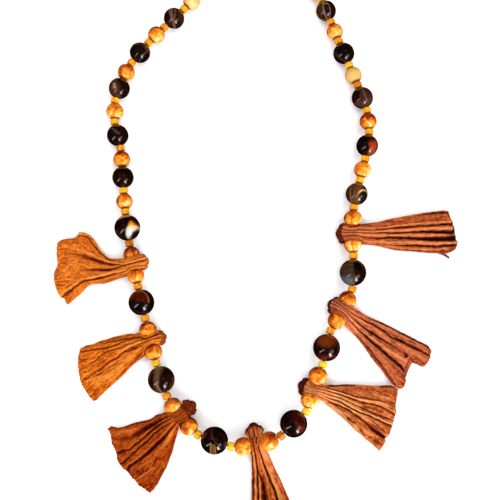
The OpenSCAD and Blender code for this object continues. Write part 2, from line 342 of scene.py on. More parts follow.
# ---------------------------------------------------------------- shader tools
class Nodes:
    def __init__(self, name):
        self.mat = bpy.data.materials.new(name)
        self.mat.use_nodes = True
        self.t = self.mat.node_tree
        self.t.nodes.clear()
        self.out = self.t.nodes.new("ShaderNodeOutputMaterial")
        self.bsdf = self.t.nodes.new("ShaderNodeBsdfPrincipled")
        self.t.links.new(self.bsdf.outputs[0], self.out.inputs[0])

    def set(self, **values):
        for key, v in values.items():
            s = self.bsdf.inputs[key.replace("_", " ")]
            if hasattr(v, "is_output"):
                self.t.links.new(v, s)
            else:
                s.default_value = v

    def put(self, node, socket, value):
        s = node.inputs[socket]
        if hasattr(value, "is_output"):
            self.t.links.new(value, s)
        elif value is not None:
            s.default_value = value

    def attr(self, name, vector=False):
        n = self.t.nodes.new("ShaderNodeAttribute")
        n.attribute_name = name
        return n.outputs["Vector" if vector else "Fac"]

    def place(self):
        return self.t.nodes.new("ShaderNodeTexCoord").outputs["Object"]

    def math(self, op, a, b=None, c=None, clamp=False):
        n = self.t.nodes.new("ShaderNodeMath")
        n.operation, n.use_clamp = op, clamp
        for k, v in enumerate((a, b, c)):
            self.put(n, k, v)
        return n.outputs[0]

    def vec(self, op, a, b=None, scale=None):
        n = self.t.nodes.new("ShaderNodeVectorMath")
        n.operation = op
        self.put(n, 0, a)
        self.put(n, 1, b)
        if scale is not None:
            self.put(n, "Scale", scale)
        return n.outputs["Value" if op in ("DOT_PRODUCT", "LENGTH", "DISTANCE") else "Vector"]

    def mapped(self, v, scale, move=(0, 0, 0)):
        n = self.t.nodes.new("ShaderNodeMapping")
        self.put(n, "Vector", v)
        n.inputs["Scale"].default_value = scale
        n.inputs["Location"].default_value = move
        return n.outputs[0]

    def noise(self, v, scale, detail=3, rough=0.55, distort=0.0, colour=False):
        n = self.t.nodes.new("ShaderNodeTexNoise")
        self.put(n, "Vector", v)
        n.inputs["Scale"].default_value = scale
        n.inputs["Detail"].default_value = detail
        n.inputs["Roughness"].default_value = rough
        n.inputs["Distortion"].default_value = distort
        return n.outputs["Color" if colour else "Fac"]

    def step(self, v, low, high, to_low=0.0, to_high=1.0, kind="SMOOTHSTEP"):
        n = self.t.nodes.new("ShaderNodeMapRange")
        n.interpolation_type = kind
        self.put(n, "Value", v)
        for key, x in (("From Min", low), ("From Max", high), ("To Min", to_low), ("To Max", to_high)):
            n.inputs[key].default_value = x
        return n.outputs[0]

    def ramp(self, v, stops, kind="LINEAR"):
        n = self.t.nodes.new("ShaderNodeValToRGB")
        self.put(n, "Fac", v)
        r = n.color_ramp
        r.interpolation = kind
        while len(r.elements) < len(stops):
            r.elements.new(0.5)
        for e, (p, c) in zip(r.elements, stops):
            e.position, e.color = p, (*c, 1)
        return n.outputs["Color"]

    def mix(self, f, a, b, how="MIX"):
        n = self.t.nodes.new("ShaderNodeMix")
        n.data_type, n.blend_type = "RGBA", how
        for key, v in ((0, f), (6, a), (7, b)):
            s = n.inputs[key]
            if hasattr(v, "is_output"):
                self.t.links.new(v, s)
            elif isinstance(v, (tuple, list)):
                s.default_value = (*v, 1) if len(v) == 3 else v
            else:
                s.default_value = v
        return n.outputs[2]

    def bump(self, height, strength, distance):
        n = self.t.nodes.new("ShaderNodeBump")
        self.put(n, "Height", height)
        n.inputs["Strength"].default_value = strength
        n.inputs["Distance"].default_value = distance
        self.t.links.new(n.outputs[0], self.bsdf.inputs["Normal"])


# ---------------------------------------------------------------- dark beads
# Marks on the dark beads. Each is a colour, how soft its edge is, and cuts: a
# cut is three points on the bead's face that a flat cut passes through, with a
# point that it keeps, or a line along such a cut with its half width.
# [colour, strength, soft, warp, cuts]
def cut(a, b, c, keep):
    return ("cut", a, b, c, keep)


def line(a, b, c, half):
    return ("line", a, b, c, half)


DARK = {
    "B1": ((0.012, 0.003, 0.002), [
        ((0.62, 0.38, 0.26), 0.9, 0.05, 0.05, [cut((-0.84, 0.42), (-0.56, 0.62), (-0.26, 0.76), (-0.66, 0.72))]),
        ((0.34, 0.060, 0.002), 1.0, 0.10, 0.04, [cut((0.34, 0.60), (0.10, -0.04), (0.18, -0.84), (0.5, 0)),
                                         cut((0.22, 0.68), (0.62, 0.42), (0.98, 0.02), (0.4, 0)),
                                         cut((0.99, -0.06), (0.52, -0.26), (0.16, -0.80), (0.5, 0.1))]),
        ((1.00, 0.42, 0.006), 1.0, 0.08, 0.04, [cut((0.40, 0.54), (0.15, -0.04), (0.20, -0.84), (0.5, 0)),
                                         cut((0.26, 0.56), (0.58, 0.30), (0.94, -0.02), (0.4, 0)),
                                         cut((0.99, -0.06), (0.52, -0.26), (0.16, -0.80), (0.5, 0.1))]),
        ((1.00, 0.86, 0.38), 1.0, 0.14, 0.04, [cut((0.32, 0.30), (0.15, -0.04), (0.19, -0.80), (0.5, 0)),
                                       cut((0.99, -0.06), (0.52, -0.26), (0.16, -0.80), (0.5, 0.1)),
                                       cut((-0.1, 0.12), (0.4, 0.14), (0.95, 0.02), (0.4, -0.2))]),
        ((0.62, 0.82, 0.98), 1.0, 0.10, 0.06, [cut((0.16, 0.2), (0.07, -0.2), (0.13, -0.84), (0.5, -0.2)),
                                         cut((0.99, -0.06), (0.52, -0.26), (0.16, -0.80), (0.5, 0.1)),
                                         cut((0.0, -0.02), (0.4, -0.04), (0.95, -0.08), (0.4, -0.3))]),
    ]),
    "B2": ((0.010, 0.003, 0.003), [
        ((0.105, 0.006, 0.002), 1.0, 0.28, 0.06, [cut((-0.92, 0.30), (-0.02, 0.24), (0.6, 0.10), (0, 0.6)),
                                          cut((0.02, 0.95), (0.46, 0.62), (0.64, 0.0), (-0.2, 0.4))]),
        ((0.52, 0.20, 0.035), 0.9, 0.055, 0.02, [line((0.08, 0.93), (0.46, 0.66), (0.66, 0.1), 0.045),
                                         cut((0.0, 0.0), (0.4, 0.02), (0.8, 0.05), (0.4, 0.5))]),
    ]),
    "B3": ((0.018, 0.006, 0.003), [
        ((0.16, 0.088, 0.045), 0.95, 0.20, 0.07, [cut((-0.46, 0.6), (-0.44, 0.2), (-0.36, -0.3), (-0.2, 0.2)),
                                         cut((0.02, 0.6), (-0.10, 0.1), (-0.12, -0.3), (-0.2, 0.2))]),
        ((0.30, 0.20, 0.11), 0.8, 0.04, 0.03, [line((-0.24, -0.18), (-0.10, -0.45), (0.06, -0.80), 0.045),
                                        cut((-0.8, -0.15), (0, -0.2), (0.8, -0.2), (0, -0.7))]),
        ((0.10, 0.032, 0.004), 0.9, 0.18, 0.1, [cut((-0.9, -0.2), (-0.45, -0.62), (0.1, -0.98), (-0.8, -0.6))]),
        ((0.12, 0.045, 0.006), 0.9, 0.14, 0.1, [cut((0.93, 0.3), (0.80, -0.2), (0.55, -0.75), (0.95, -0.3))]),
    ]),
    "B4": ((0.010, 0.003, 0.003), [
        ((0.11, 0.048, 0.014), 0.9, 0.035, 0.03, [line((-0.16, 0.88), (-0.06, 0.34), (0.20, 0.0), 0.026),
                                          cut((-0.8, -0.02), (0, -0.02), (0.8, -0.02), (0, 0.5))]),
        ((0.17, 0.060, 0.006), 1.0, 0.05, 0.02, [cut((-0.22, 0.02), (-0.26, -0.42), (-0.22, -0.97), (0, -0.5)),
                                         cut((0.08, 0.02), (0.13, -0.37), (0.13, -0.95), (-0.05, -0.5)),
                                         cut((-0.5, -0.05), (0, -0.04), (0.5, -0.05), (0, -0.5))]),
        ((0.42, 0.20, 0.040), 0.9, 0.03, 0.02, [line((-0.18, -0.04), (-0.24, -0.42), (-0.20, -0.97), 0.035),
                                         cut((-0.5, -0.03), (0, -0.02), (0.5, -0.03), (0, -0.5))]),
        ((0.36, 0.17, 0.035), 0.85, 0.03, 0.02, [line((0.06, -0.06), (0.10, -0.40), (0.11, -0.95), 0.030),
                                         cut((-0.5, -0.06), (0, -0.06), (0.5, -0.06), (0, -0.5))]),
    ]),
    "B5": ((0.008, 0.003, 0.003), [
        ((0.050, 0.003, 0.002), 1.0, 0.22, 0.1, [cut((-0.1, 0.95), (-0.02, 0.3), (0.35, -0.3), (0.5, 0.4)),
                                          cut((0.70, 0.70), (0.84, 0.2), (0.80, -0.4), (0.2, 0.0))]),
        ((0.12, 0.013, 0.008), 0.9, 0.14, 0.1, [cut((0.1, 0.2), (0.15, -0.1), (0.3, -0.5), (0.4, -0.1)),
                                         cut((0.70, 0.4), (0.78, 0.0), (0.74, -0.5), (0.2, 0.0)),
                                         cut((0.2, -0.42), (0.5, -0.46), (0.9, -0.5), (0.4, 0.0)),
                                         cut((0.2, 0.22), (0.5, 0.1), (0.9, -0.1), (0.4, -0.2))]),
    ]),
    "B6": ((0.010, 0.003, 0.002), [
        ((0.19, 0.018, 0.002), 1.0, 0.26, 0.06, [cut((-0.72, 0.46), (0.05, 0.24), (0.70, 0.62), (0.1, 0.7))]),
        ((0.26, 0.055, 0.003), 0.8, 0.22, 0.08, [cut((-0.5, 0.45), (-0.1, 0.34), (0.25, 0.75), (-0.2, 0.7))]),
        ((0.10, 0.008, 0.003), 0.9, 0.10, 0.05, [cut((-0.9, -0.42), (-0.2, -0.44), (0.3, -0.48), (-0.2, -0.7)),
                                         cut((-0.9, -0.66), (-0.2, -0.72), (0.4, -0.70), (-0.2, -0.5))]),
        ((0.075, 0.010, 0.006), 0.9, 0.12, 0.05, [cut((0.92, 0.3), (0.86, -0.1), (0.62, -0.70), (0.97, -0.2))]),
    ]),
    "B7": ((0.010, 0.005, 0.005), [
        ((0.060, 0.032, 0.017), 1.0, 0.012, 0.0, [cut((-0.04, 0.99), (-0.06, 0.0), (-0.06, -0.98), (-0.6, 0))]),
        ((0.20, 0.085, 0.020), 0.8, 0.025, 0.03, [line((-0.72, 0.50), (-0.45, 0.60), (-0.08, 0.62), 0.03),
                                          cut((-0.05, 0.99), (-0.07, 0.0), (-0.07, -0.98), (-0.6, 0))]),
        ((0.12, 0.055, 0.014), 0.8, 0.06, 0.03, [line((-0.60, 0.72), (-0.40, 0.80), (-0.10, 0.86), 0.06),
                                          cut((-0.05, 0.99), (-0.07, 0.0), (-0.07, -0.98), (-0.6, 0))]),
        ((0.125, 0.140, 0.165), 0.95, 0.20, 0.05, [cut((-0.9, -0.30), (-0.5, -0.34), (-0.05, -0.36), (-0.4, -0.7)),
                                           cut((-0.04, 0.99), (-0.06, 0.0), (-0.06, -0.98), (-0.6, 0))]),
        ((0.10, 0.055, 0.020), 0.9, 0.08, 0.08, [cut((0.0, -0.15), (0.1, -0.20), (0.3, -0.25), (0.1, -0.5)),
                                         cut((0.24, 0.0), (0.20, -0.3), (0.12, -0.6), (0.05, -0.3)),
                                         cut((-0.04, 0.99), (-0.05, 0.0), (-0.05, -0.98), (0.6, 0))]),
    ]),
    "D1": ((0.020, 0.007, 0.005), [
        ((0.20, 0.105, 0.055), 0.95, 0.05, 0.10, [cut((-0.50, 0.9), (-0.36, 0.3), (-0.20, -0.4), (0, 0.3)),
                                          cut((0.02, 0.9), (-0.02, 0.3), (0.0, -0.3), (-0.3, 0.3))]),
        ((0.16, 0.080, 0.045), 0.9, 0.05, 0.10, [cut((0.10, 0.9), (0.10, 0.3), (0.04, -0.3), (0.3, 0.3)),
                                         cut((0.36, 0.8), (0.26, 0.3), (0.20, -0.2), (0.0, 0.3))]),
        ((0.06, 0.017, 0.006), 0.9, 0.12, 0.1, [cut((0.3, 0.5), (0.35, 0.2), (0.5, -0.3), (0.8, 0.2))]),
    ]),
    "D2": ((0.020, 0.008, 0.005), [
        ((0.22, 0.095, 0.025), 0.95, 0.09, 0.08, [cut((-0.82, 0.52), (-0.2, 0.60), (0.30, 0.74), (-0.2, 0.8))]),
        ((0.085, 0.030, 0.010), 0.9, 0.10, 0.1, [cut((0.10, 0.85), (0.40, 0.40), (0.75, -0.05), (0.8, 0.6))]),
        ((0.30, 0.19, 0.12), 0.8, 0.02, 0.02, [line((0.86, 0.16), (0.52, -0.30), (0.14, -0.76), 0.018),
                                       cut((0.0, -0.9), (0.1, -0.7), (0.2, -0.5), (0.6, 0))]),
    ]),
    "D3": ((0.026, 0.009, 0.005), [
        ((0.085, 0.035, 0.014), 0.9, 0.2, 0.1, [cut((-0.1, 0.9), (0.1, 0.2), (0.2, -0.5), (-0.6, 0.2))]),
        ((0.46, 0.27, 0.17), 0.95, 0.08, 0.08, [cut((-0.42, 0.42), (-0.44, 0.1), (-0.50, -0.3), (-0.2, 0)),
                                         cut((-0.26, 0.45), (-0.20, 0.1), (-0.02, -0.3), (-0.4, 0)),
                                         cut((-0.8, -0.16), (-0.3, -0.20), (0.2, -0.16), (-0.3, 0.2)),
                                         cut((-0.8, 0.36), (-0.3, 0.40), (0.2, 0.36), (-0.3, 0.2))]),
    ]),
    "D4": ((0.020, 0.006, 0.005), [
        ((0.11, 0.062, 0.040), 0.9, 0.10, 0.1, [line((-0.70, 0.62), (-0.10, 0.36), (0.28, 0.02), 0.10),
                                        cut((-0.5, -0.4), (0.0, -0.1), (0.6, 0.2), (-0.5, 0.5))]),
        ((0.17, 0.10, 0.05), 0.8, 0.06, 0.05, [cut((-0.93, 0.3), (-0.90, -0.05), (-0.80, -0.42), (-0.99, -0.1))]),
    ]),
    "D5": ((0.017, 0.004, 0.004), [
        ((0.045, 0.010, 0.006), 0.8, 0.2, 0.1, [cut((-0.5, 0.8), (-0.7, 0.1), (-0.6, -0.6), (-0.9, 0))]),
    ]),
    "D6": ((0.028, 0.010, 0.005), [
        ((0.085, 0.022, 0.004), 0.95, 0.05, 0.06, [cut((-0.04, 0.98), (-0.14, 0.3), (-0.30, -0.9), (-0.6, 0))]),
        ((0.28, 0.15, 0.075), 0.8, 0.05, 0.05, [line((-0.62, 0.6), (-0.66, 0.0), (-0.52, -0.75), 0.07)]),
        ((0.22, 0.11, 0.05), 0.8, 0.04, 0.05, [line((-0.28, 0.8), (-0.36, 0.1), (-0.40, -0.8), 0.04)]),
        ((0.12, 0.035, 0.010), 0.9, 0.08, 0.06, [cut((-0.05, 0.4), (0.3, 0.32), (0.85, 0.18), (0.4, 0.7))]),
        ((0.92, 0.62, 0.34), 1.0, 0.035, 0.02, [line((-0.16, -0.33), (0.28, 0.26), (0.86, 0.12), 0.055),
                                        cut((-0.12, 0.7), (-0.18, -0.1), (-0.22, -0.9), (0.4, 0)),
                                        cut((-0.5, -0.38), (0.2, -0.32), (0.9, -0.15), (0.3, 0.5))]),
        ((0.012, 0.006, 0.008), 1.0, 0.035, 0.02, [cut((-0.05, -0.42), (0.30, 0.18), (0.88, 0.06), (0.4, -0.4))]),
        ((0.18, 0.07, 0.012), 0.95, 0.05, 0.05, [cut((-0.28, -0.2), (-0.30, -0.5), (-0.30, -0.9), (0, -0.5)),
                                         cut((0.0, -0.35), (0.05, -0.65), (0.35, -0.9), (-0.1, -0.7))]),
    ]),
    "D7": ((0.008, 0.004, 0.003), [
        ((0.075, 0.008, 0.001), 1.0, 0.16, 0.08, [cut((0.08, 0.9), (0.10, 0.1), (-0.02, -0.9), (0.6, 0))]),
        ((0.50, 0.060, 0.006), 0.95, 0.24, 0.06, [cut((0.02, 0.2), (0.2, 0.22), (0.7, 0.3), (0.4, -0.2)),
                                          cut((0.06, 0.3), (0.10, -0.1), (0.14, -0.5), (0.5, -0.1)),
                                          cut((0.80, 0.3), (0.78, -0.1), (0.65, -0.5), (0.4, -0.1))]),
        ((0.26, 0.070, 0.008), 0.95, 0.12, 0.05, [cut((-0.04, -0.45), (0.3, -0.5), (0.8, -0.45), (0.3, -0.8)),
                                          cut((0.0, -0.3), (-0.02, -0.6), (-0.05, -0.9), (0.5, -0.7))]),
    ]),
    "D8": ((0.010, 0.004, 0.004), [
        ((0.066, 0.022, 0.010), 1.0, 0.06, 0.08, [cut((-0.30, 0.92), (-0.34, 0.2), (0.0, -0.85), (0.5, 0))]),
        ((0.19, 0.090, 0.045), 0.85, 0.09, 0.06, [line((-0.05, 0.55), (0.12, 0.0), (0.36, -0.45), 0.06)]),
        ((0.090, 0.034, 0.022), 0.9, 0.12, 0.06, [cut((0.0, -0.35), (0.45, -0.20), (0.9, 0.05), (0.5, -0.6))]),
    ]),
    "D9": ((0.012, 0.006, 0.005), [
        ((0.060, 0.024, 0.008), 0.9, 0.06, 0.06, [line((-0.88, -0.1), (-0.55, -0.50), (-0.05, -0.86), 0.09)]),
    ]),
    "D10": ((0.024, 0.009, 0.005), [
        ((0.080, 0.026, 0.008), 0.9, 0.14, 0.1, [cut((-0.1, 0.8), (-0.3, 0.0), (-0.4, -0.7), (-0.8, 0))]),
        ((0.22, 0.15, 0.12), 0.85, 0.07, 0.08, [line((-0.36, 0.62), (-0.38, 0.1), (-0.30, -0.3), 0.10)]),
        ((0.32, 0.21, 0.13), 0.9, 0.03, 0.04, [line((-0.02, 0.66), (0.20, 0.30), (0.34, -0.2), 0.035),
                                       cut((-0.8, 0.70), (0, 0.72), (0.8, 0.7), (0, 0))]),
        ((0.34, 0.17, 0.05), 0.9, 0.08, 0.04, [line((-0.42, 0.48), (-0.2, 0.50), (0.02, 0.46), 0.07),
                                       cut((-0.42, 0.9), (-0.42, 0.4), (-0.42, 0), (0, 0.4)),
                                       cut((0.05, 0.9), (0.05, 0.4), (0.05, 0), (-0.2, 0.4))]),
    ]),
}


def dark_material(key, centre, radius, seed):
    base, marks = DARK.get(key, ((0.014, 0.005, 0.004), []))
    m = Nodes("dark_" + key)
    p = m.vec("SUBTRACT", m.place(), tuple(c * MM for c in centre))
    p = m.vec("SCALE", p, scale=1 / (radius * MM))
    # faint bands through the stone, a wavering stack of them
    s = m.vec("ADD", p, (seed * 3.7, seed * 1.9, seed * 2.3))
    wave = m.noise(m.mapped(s, (0.8, 0.8, 2.4)), 1.5, 4, 0.6, 0.6)
    band = m.noise(m.mapped(s, (0.5, 6.0, 0.8)), 1.2, 2, 0.5, 0.8)
    lift = m.math("MULTIPLY", m.step(wave, 0.45, 0.72), m.step(band, 0.42, 0.66))
    base = tuple(c * 0.20 for c in base)
    colour = m.mix(m.step(m.noise(s, 1.1, 3, 0.6, 0.4), 0.42, 0.60), base, (0.0095, 0.0012, 0.0004))
    colour = m.mix(m.math("MULTIPLY", lift, 0.7), colour, tuple(c * 6.0 + 0.0008 for c in base))
    warped = {}
    for tone, strength, edge, warp, cuts in marks:
        if warp not in warped:
            if warp:
                w = m.noise(s, 2.2, 3, 0.55, 0.0, colour=True)
                w = m.vec("SCALE", m.vec("SUBTRACT", w, (0.5, 0.5, 0.5)), scale=warp * 2.2)
                warped[warp] = m.vec("ADD", p, w)
            else:
                warped[warp] = p
        q = warped[warp]
        mask = None
        for kind, a, b, c, last in cuts:
            a, b, c = seen(*a), seen(*b), seen(*c)
            n = (b - a).cross(c - a).normalized()
            d = n.dot(a)
            if kind == "cut":
                if n.dot(seen(*last)) < d:
                    n, d = -n, -d
                one = m.step(m.vec("DOT_PRODUCT", q, tuple(n)), d - edge, d + edge)
            else:
                off = m.math("ABSOLUTE", m.math("SUBTRACT", m.vec("DOT_PRODUCT", q, tuple(n)), d))
                one = m.step(off, last - edge * 0.6, last + edge * 0.6, 1.0, 0.0)
            mask = one if mask is None else m.math("MULTIPLY", mask, one)
        # the bands are never quite even
        patchy = m.step(m.noise(s, 2.6 + 9 * edge, 4, 0.62, 0.5), 0.34, 0.60, 0.62, 1.0)
        colour = m.mix(m.math("MULTIPLY", m.math("MULTIPLY", mask, strength), patchy), colour, (tone[0] * 0.58, tone[1] * 0.53, tone[2] * 0.50))
    scuff = m.noise(p, 9, 5, 0.7)
    m.set(Base_Color=colour, Roughness=m.step(scuff, 0.35, 0.75, 0.14, 0.26, "LINEAR"),
          Coat_Weight=0.5, Coat_Roughness=0.06, IOR=1.5)
    m.bsdf.inputs["Specular IOR Level"].default_value = 0.2
    m.bump(m.noise(p, 14, 4, 0.6), 0.05, 0.0002)
    return m.mat


# ---------------------------------------------------------------- light beads
def light_material():
    m = Nodes("light_wood")
    b, seed = m.attr("bead", True), m.attr("seed")
    shift = m.vec("SCALE", (3.1, 1.7, 2.3), scale=seed)
    p = m.vec("ADD", b, shift)
    blotch = m.noise(p, 1.15, 4, 0.55, 0.9)
    fine = m.noise(m.mapped(p, (1.4, 1, 1)), 3.4, 5, 0.65, 1.2)
    mixed = m.math("ADD", m.math("MULTIPLY", blotch, 0.62), m.math("MULTIPLY", fine, 0.20))
    # painted shade: the side of each bead towards the back of the string is darker, and the front, lower side, where
    # the light falls, is paler
    wear_and_painted_shade = m.vec("DOT_PRODUCT", m.attr("out", True), (-0.28, 0.90, -0.10))
    mixed = m.math("ADD", mixed, m.math("ADD", m.math("ADD", m.math("MULTIPLY", wear_and_painted_shade, 0.135), 0.092), m.attr("tone")))
    colour = m.ramp(mixed, [
        (0.35, (0.86, 0.48, 0.19)), (0.42, (0.78, 0.29, 0.016)), (0.49, (0.62, 0.148, 0.001)),
        (0.56, (0.36, 0.050, 0.0005)), (0.63, (0.12, 0.009, 0.0003))])
    # two beads are plain pale wood
    colour = m.mix(m.step(m.attr("tone"), -0.18, -0.06, 0.78, 0.0), colour, (0.50, 0.285, 0.062))
    # thin red-brown veins along the edges of the blotches
    vein = m.math("ABSOLUTE", m.math("SUBTRACT", m.noise(p, 1.9, 3, 0.6, 1.6), 0.5))
    vein = m.math("MULTIPLY", m.step(vein, 0.0, 0.035, 1.0, 0.0), m.step(blotch, 0.42, 0.6))
    colour = m.mix(m.math("MULTIPLY", vein, 0.35), colour, (0.24, 0.030, 0.002))
    # the ends, by the bore, are darker
    x = m.t.nodes.new("ShaderNodeSeparateXYZ")
    m.put(x, 0, b)
    end = m.step(m.math("ADD", m.math("ABSOLUTE", x.outputs[0]), m.math("MULTIPLY", fine, 0.30)), 0.86, 1.06)
    colour = m.mix(m.math("MULTIPLY", end, 0.85), colour, (0.15, 0.022, 0.002))
    pores = m.noise(m.mapped(p, (1, 5, 5)), 5, 4, 0.7)
    colour = m.mix(m.math("MULTIPLY", m.step(pores, 0.60, 0.74), 0.40), colour, (0.26, 0.055, 0.005))
    m.set(Base_Color=colour, Roughness=m.step(pores, 0.3, 0.8, 0.36, 0.50, "LINEAR"),
          Coat_Weight=0.55, Coat_Roughness=0.22, IOR=1.5)
    m.bsdf.inputs["Specular IOR Level"].default_value = 0.03
    m.bump(m.math("ADD", fine, m.math("MULTIPLY", pores, 0.5)), 0.25, 0.0002)
    return m.mat


def spacer_material():
    m = Nodes("spacer_wood")
    b, seed = m.attr("bead", True), m.attr("seed")
    p = m.vec("ADD", b, m.vec("SCALE", (2.7, 4.1, 1.3), scale=seed))
    big = m.noise(m.mapped(p, (0.35, 1, 1)), 1.3, 3, 0.5, 0.3)
    grain = m.noise(m.mapped(p, (0.6, 6, 6)), 2.0, 4, 0.6, 0.2)
    mixed = m.math("ADD", m.math("MULTIPLY", big, 0.7), m.math("MULTIPLY", grain, 0.3))
    mixed = m.math("ADD", mixed, m.math("MULTIPLY", m.math("SUBTRACT", m.attr("tone"), 0.5), 0.5))
    colour = m.ramp(mixed, [
        (0.30, (0.86, 0.43, 0.020)), (0.46, (0.74, 0.27, 0.003)), (0.58, (0.54, 0.150, 0.001)), (0.80, (0.24, 0.045, 0.0005))])
    # painted shade: the rims at each ring's ends, where it meets the beads, are darkened
    colour = m.mix(m.step(m.attr("edge"), 0.35, 1.0, 0.0, 0.55), colour, (0.14, 0.035, 0.003))
    m.set(Base_Color=colour, Roughness=m.step(grain, 0.3, 0.7, 0.26, 0.42, "LINEAR"),
          Coat_Weight=0.25, Coat_Roughness=0.25, IOR=1.5)
    m.bsdf.inputs["Specular IOR Level"].default_value = 0.03
    m.bump(grain, 0.3, 0.0002)
    return m.mat


light_wood = light_material()
spacer_wood = spacer_material()

for k, i in enumerate(BIGS):
    mesh = Mesh()
    bead(mesh, i, lump=0.022, freq=1.1, seed=2.0 + k, count=72, arcs=36)
    mat = dark_material(f"B{k + 1}", bead_mid(i), dia(i) / 2, 2.0 + k)
    add_piece(f"dark_bead_large_{k + 1}", mesh.v, mesh.f, [mat], [f"dark_big_{k + 1}"], attrs=mesh.at)
for k, i in enumerate(SMALLS):
    mesh = Mesh()
    bead(mesh, i, lump=0.05 if k in (0, 1, 3) else 0.028, freq=1.3, seed=12.0 + k, count=64, arcs=32)
    mat = dark_material(f"D{k + 1}", bead_mid(i), dia(i) / 2, 12.0 + k)
    add_piece(f"dark_bead_small_{k + 1}", mesh.v, mesh.f, [mat], [f"dark_small_{k + 1}"], attrs=mesh.at)
# How much darker or paler than the rest each light bead is
LIGHT_TONES = [-0.10, -0.01, 0.04, 0.0, 0.02, 0.0, 0.06, 0.02, 0.04, 0.04, -0.02, 0.04,
               0.0, 0.0, -0.03, 0.0, 0.01, 0.02, -0.02, 0.0, -0.02, 0.04, -0.20, -0.01]
for k, i in enumerate(LIGHTS):
    mesh = Mesh()
    bead(mesh, i, lump=0.016, freq=1.2, seed=30.0 + 1.37 * k, count=56, arcs=26, tone=LIGHT_TONES[k])
    add_piece(f"light_bead_{k + 1}", mesh.v, mesh.f, [light_wood], [f"light_{k + 1}"], attrs=mesh.at)


# ---------------------------------------------------------------- spacers
def spacer(mesh, i, seed, tone, mat=0, bore=HOLE / 2):
    """A short ring cut from a stick: worn edges, ends not quite square, sides not quite round."""
    c, d = soft_mid(i), soft_dir(i)
    r, h = SPACER / 2, LENGTHS[i] / 2
    profile = [(-h + 0.15, bore), (-h + 0.03, bore + 0.06), (-h, bore + 0.18), (-h + 0.02, r - 0.62)]
    for k in range(7):
        a = math.pi / 2 * k / 6
        profile.append((-h + 0.05 + 0.55 * (1 - math.cos(a)), r - 0.55 + 0.55 * math.sin(a)))
    profile += [(-h * 0.3, r * 1.0), (h * 0.3, r * 1.0)]
    for k in range(7):
        a = math.pi / 2 * (6 - k) / 6
        profile.append((h - 0.05 - 0.55 * (1 - math.cos(a)), r - 0.55 + 0.55 * math.sin(a)))
    profile += [(h - 0.02, r - 0.62), (h, bore + 0.18), (h - 0.03, bore + 0.06), (h - 0.15, bore)]
    verts, faces = lathe(c, d, profile, 40)
    u, w = frame_of(d)
    out, local, edges = [], [], []
    for v in verts:
        p = v - c
        x, y, z = p.dot(d), p.dot(u), p.dot(w)
        rr = math.hypot(y, z)
        n = Vector((x, y, z)) / r
        k = 0.035 * (0.5 + 0.5 * noise.noise(n * 1.1 + Vector((seed, seed * 0.3, 0)))) * ease((rr - bore) / (r - bore) * 1.6 - 0.5)
        out.append(c + d * x + (u * y + w * z) * (1 - k))
        local.append((x / r, y / r, z / r))
        edges.append(ease((abs(x) - (h - 0.55)) / 0.55) * ease((rr - bore) / 0.6))
    mesh.add(out, faces, mat, bead=local, seed=[seed] * len(out), tone=[tone] * len(out), edge=edges)


# How dark each spacer is, along the string: 0 bright yellow, 1 brown
TONES = {1: 0.35, 5: 0.45, 21: 0.85, 25: 0.55, 33: 0.5, 43: 0.85, 45: 0.0, 49: 0.0, 55: 0.55}
spacers = places("s")
big_first, big_last = BIGS[0], BIGS[6]
for name, low, high in (("left", 0, big_first), ("front", big_first, big_last + 5), ("right", big_last + 5, NF)):
    mesh = Mesh()
    for i in spacers:
        if low <= i < high:
            k = spacers.index(i)
            tone = TONES.get(i, 0.40 + 0.16 * math.sin(k * 2.4))
            spacer(mesh, i, 1.7 * k + 0.4, tone)
    add_piece(f"spacer_rings_{name}", mesh.v, mesh.f, [spacer_wood], [f"spacers_{name}"], attrs=mesh.at)

# ---------------------------------------------------------------- bark cloth
# Each fan is drawn on an enlarged view of the photograph. view is the
# corner of that view in the photo's pixels and how many units make a pixel.
# a and b are its edges from the thread outward, end the outer edge from a to b,
# low_end that of the lower layer where it differs. A fold is
# [points, half width mm, depth mm, darkness of its painted shade, raised lip with painted highlight towards a, the same
# towards b, runs over the thread] with width, depth and darkness given at its start, middle and end. A crest has
# a negative depth and darkness, which paints a highlight along it.
# How far each head reaches inside the string, its half width and how far it leans along the string, mm
HEADS = [(7.0, 3.2, -1.0), (7.1, 2.9, -0.4), (9.2, 3.3, -0.8), (10.3, 3.6, 0.3), (6.5, 3.5, -0.6), (7.2, 3.7, 0.6), (7.0, 4.2, -0.6)]
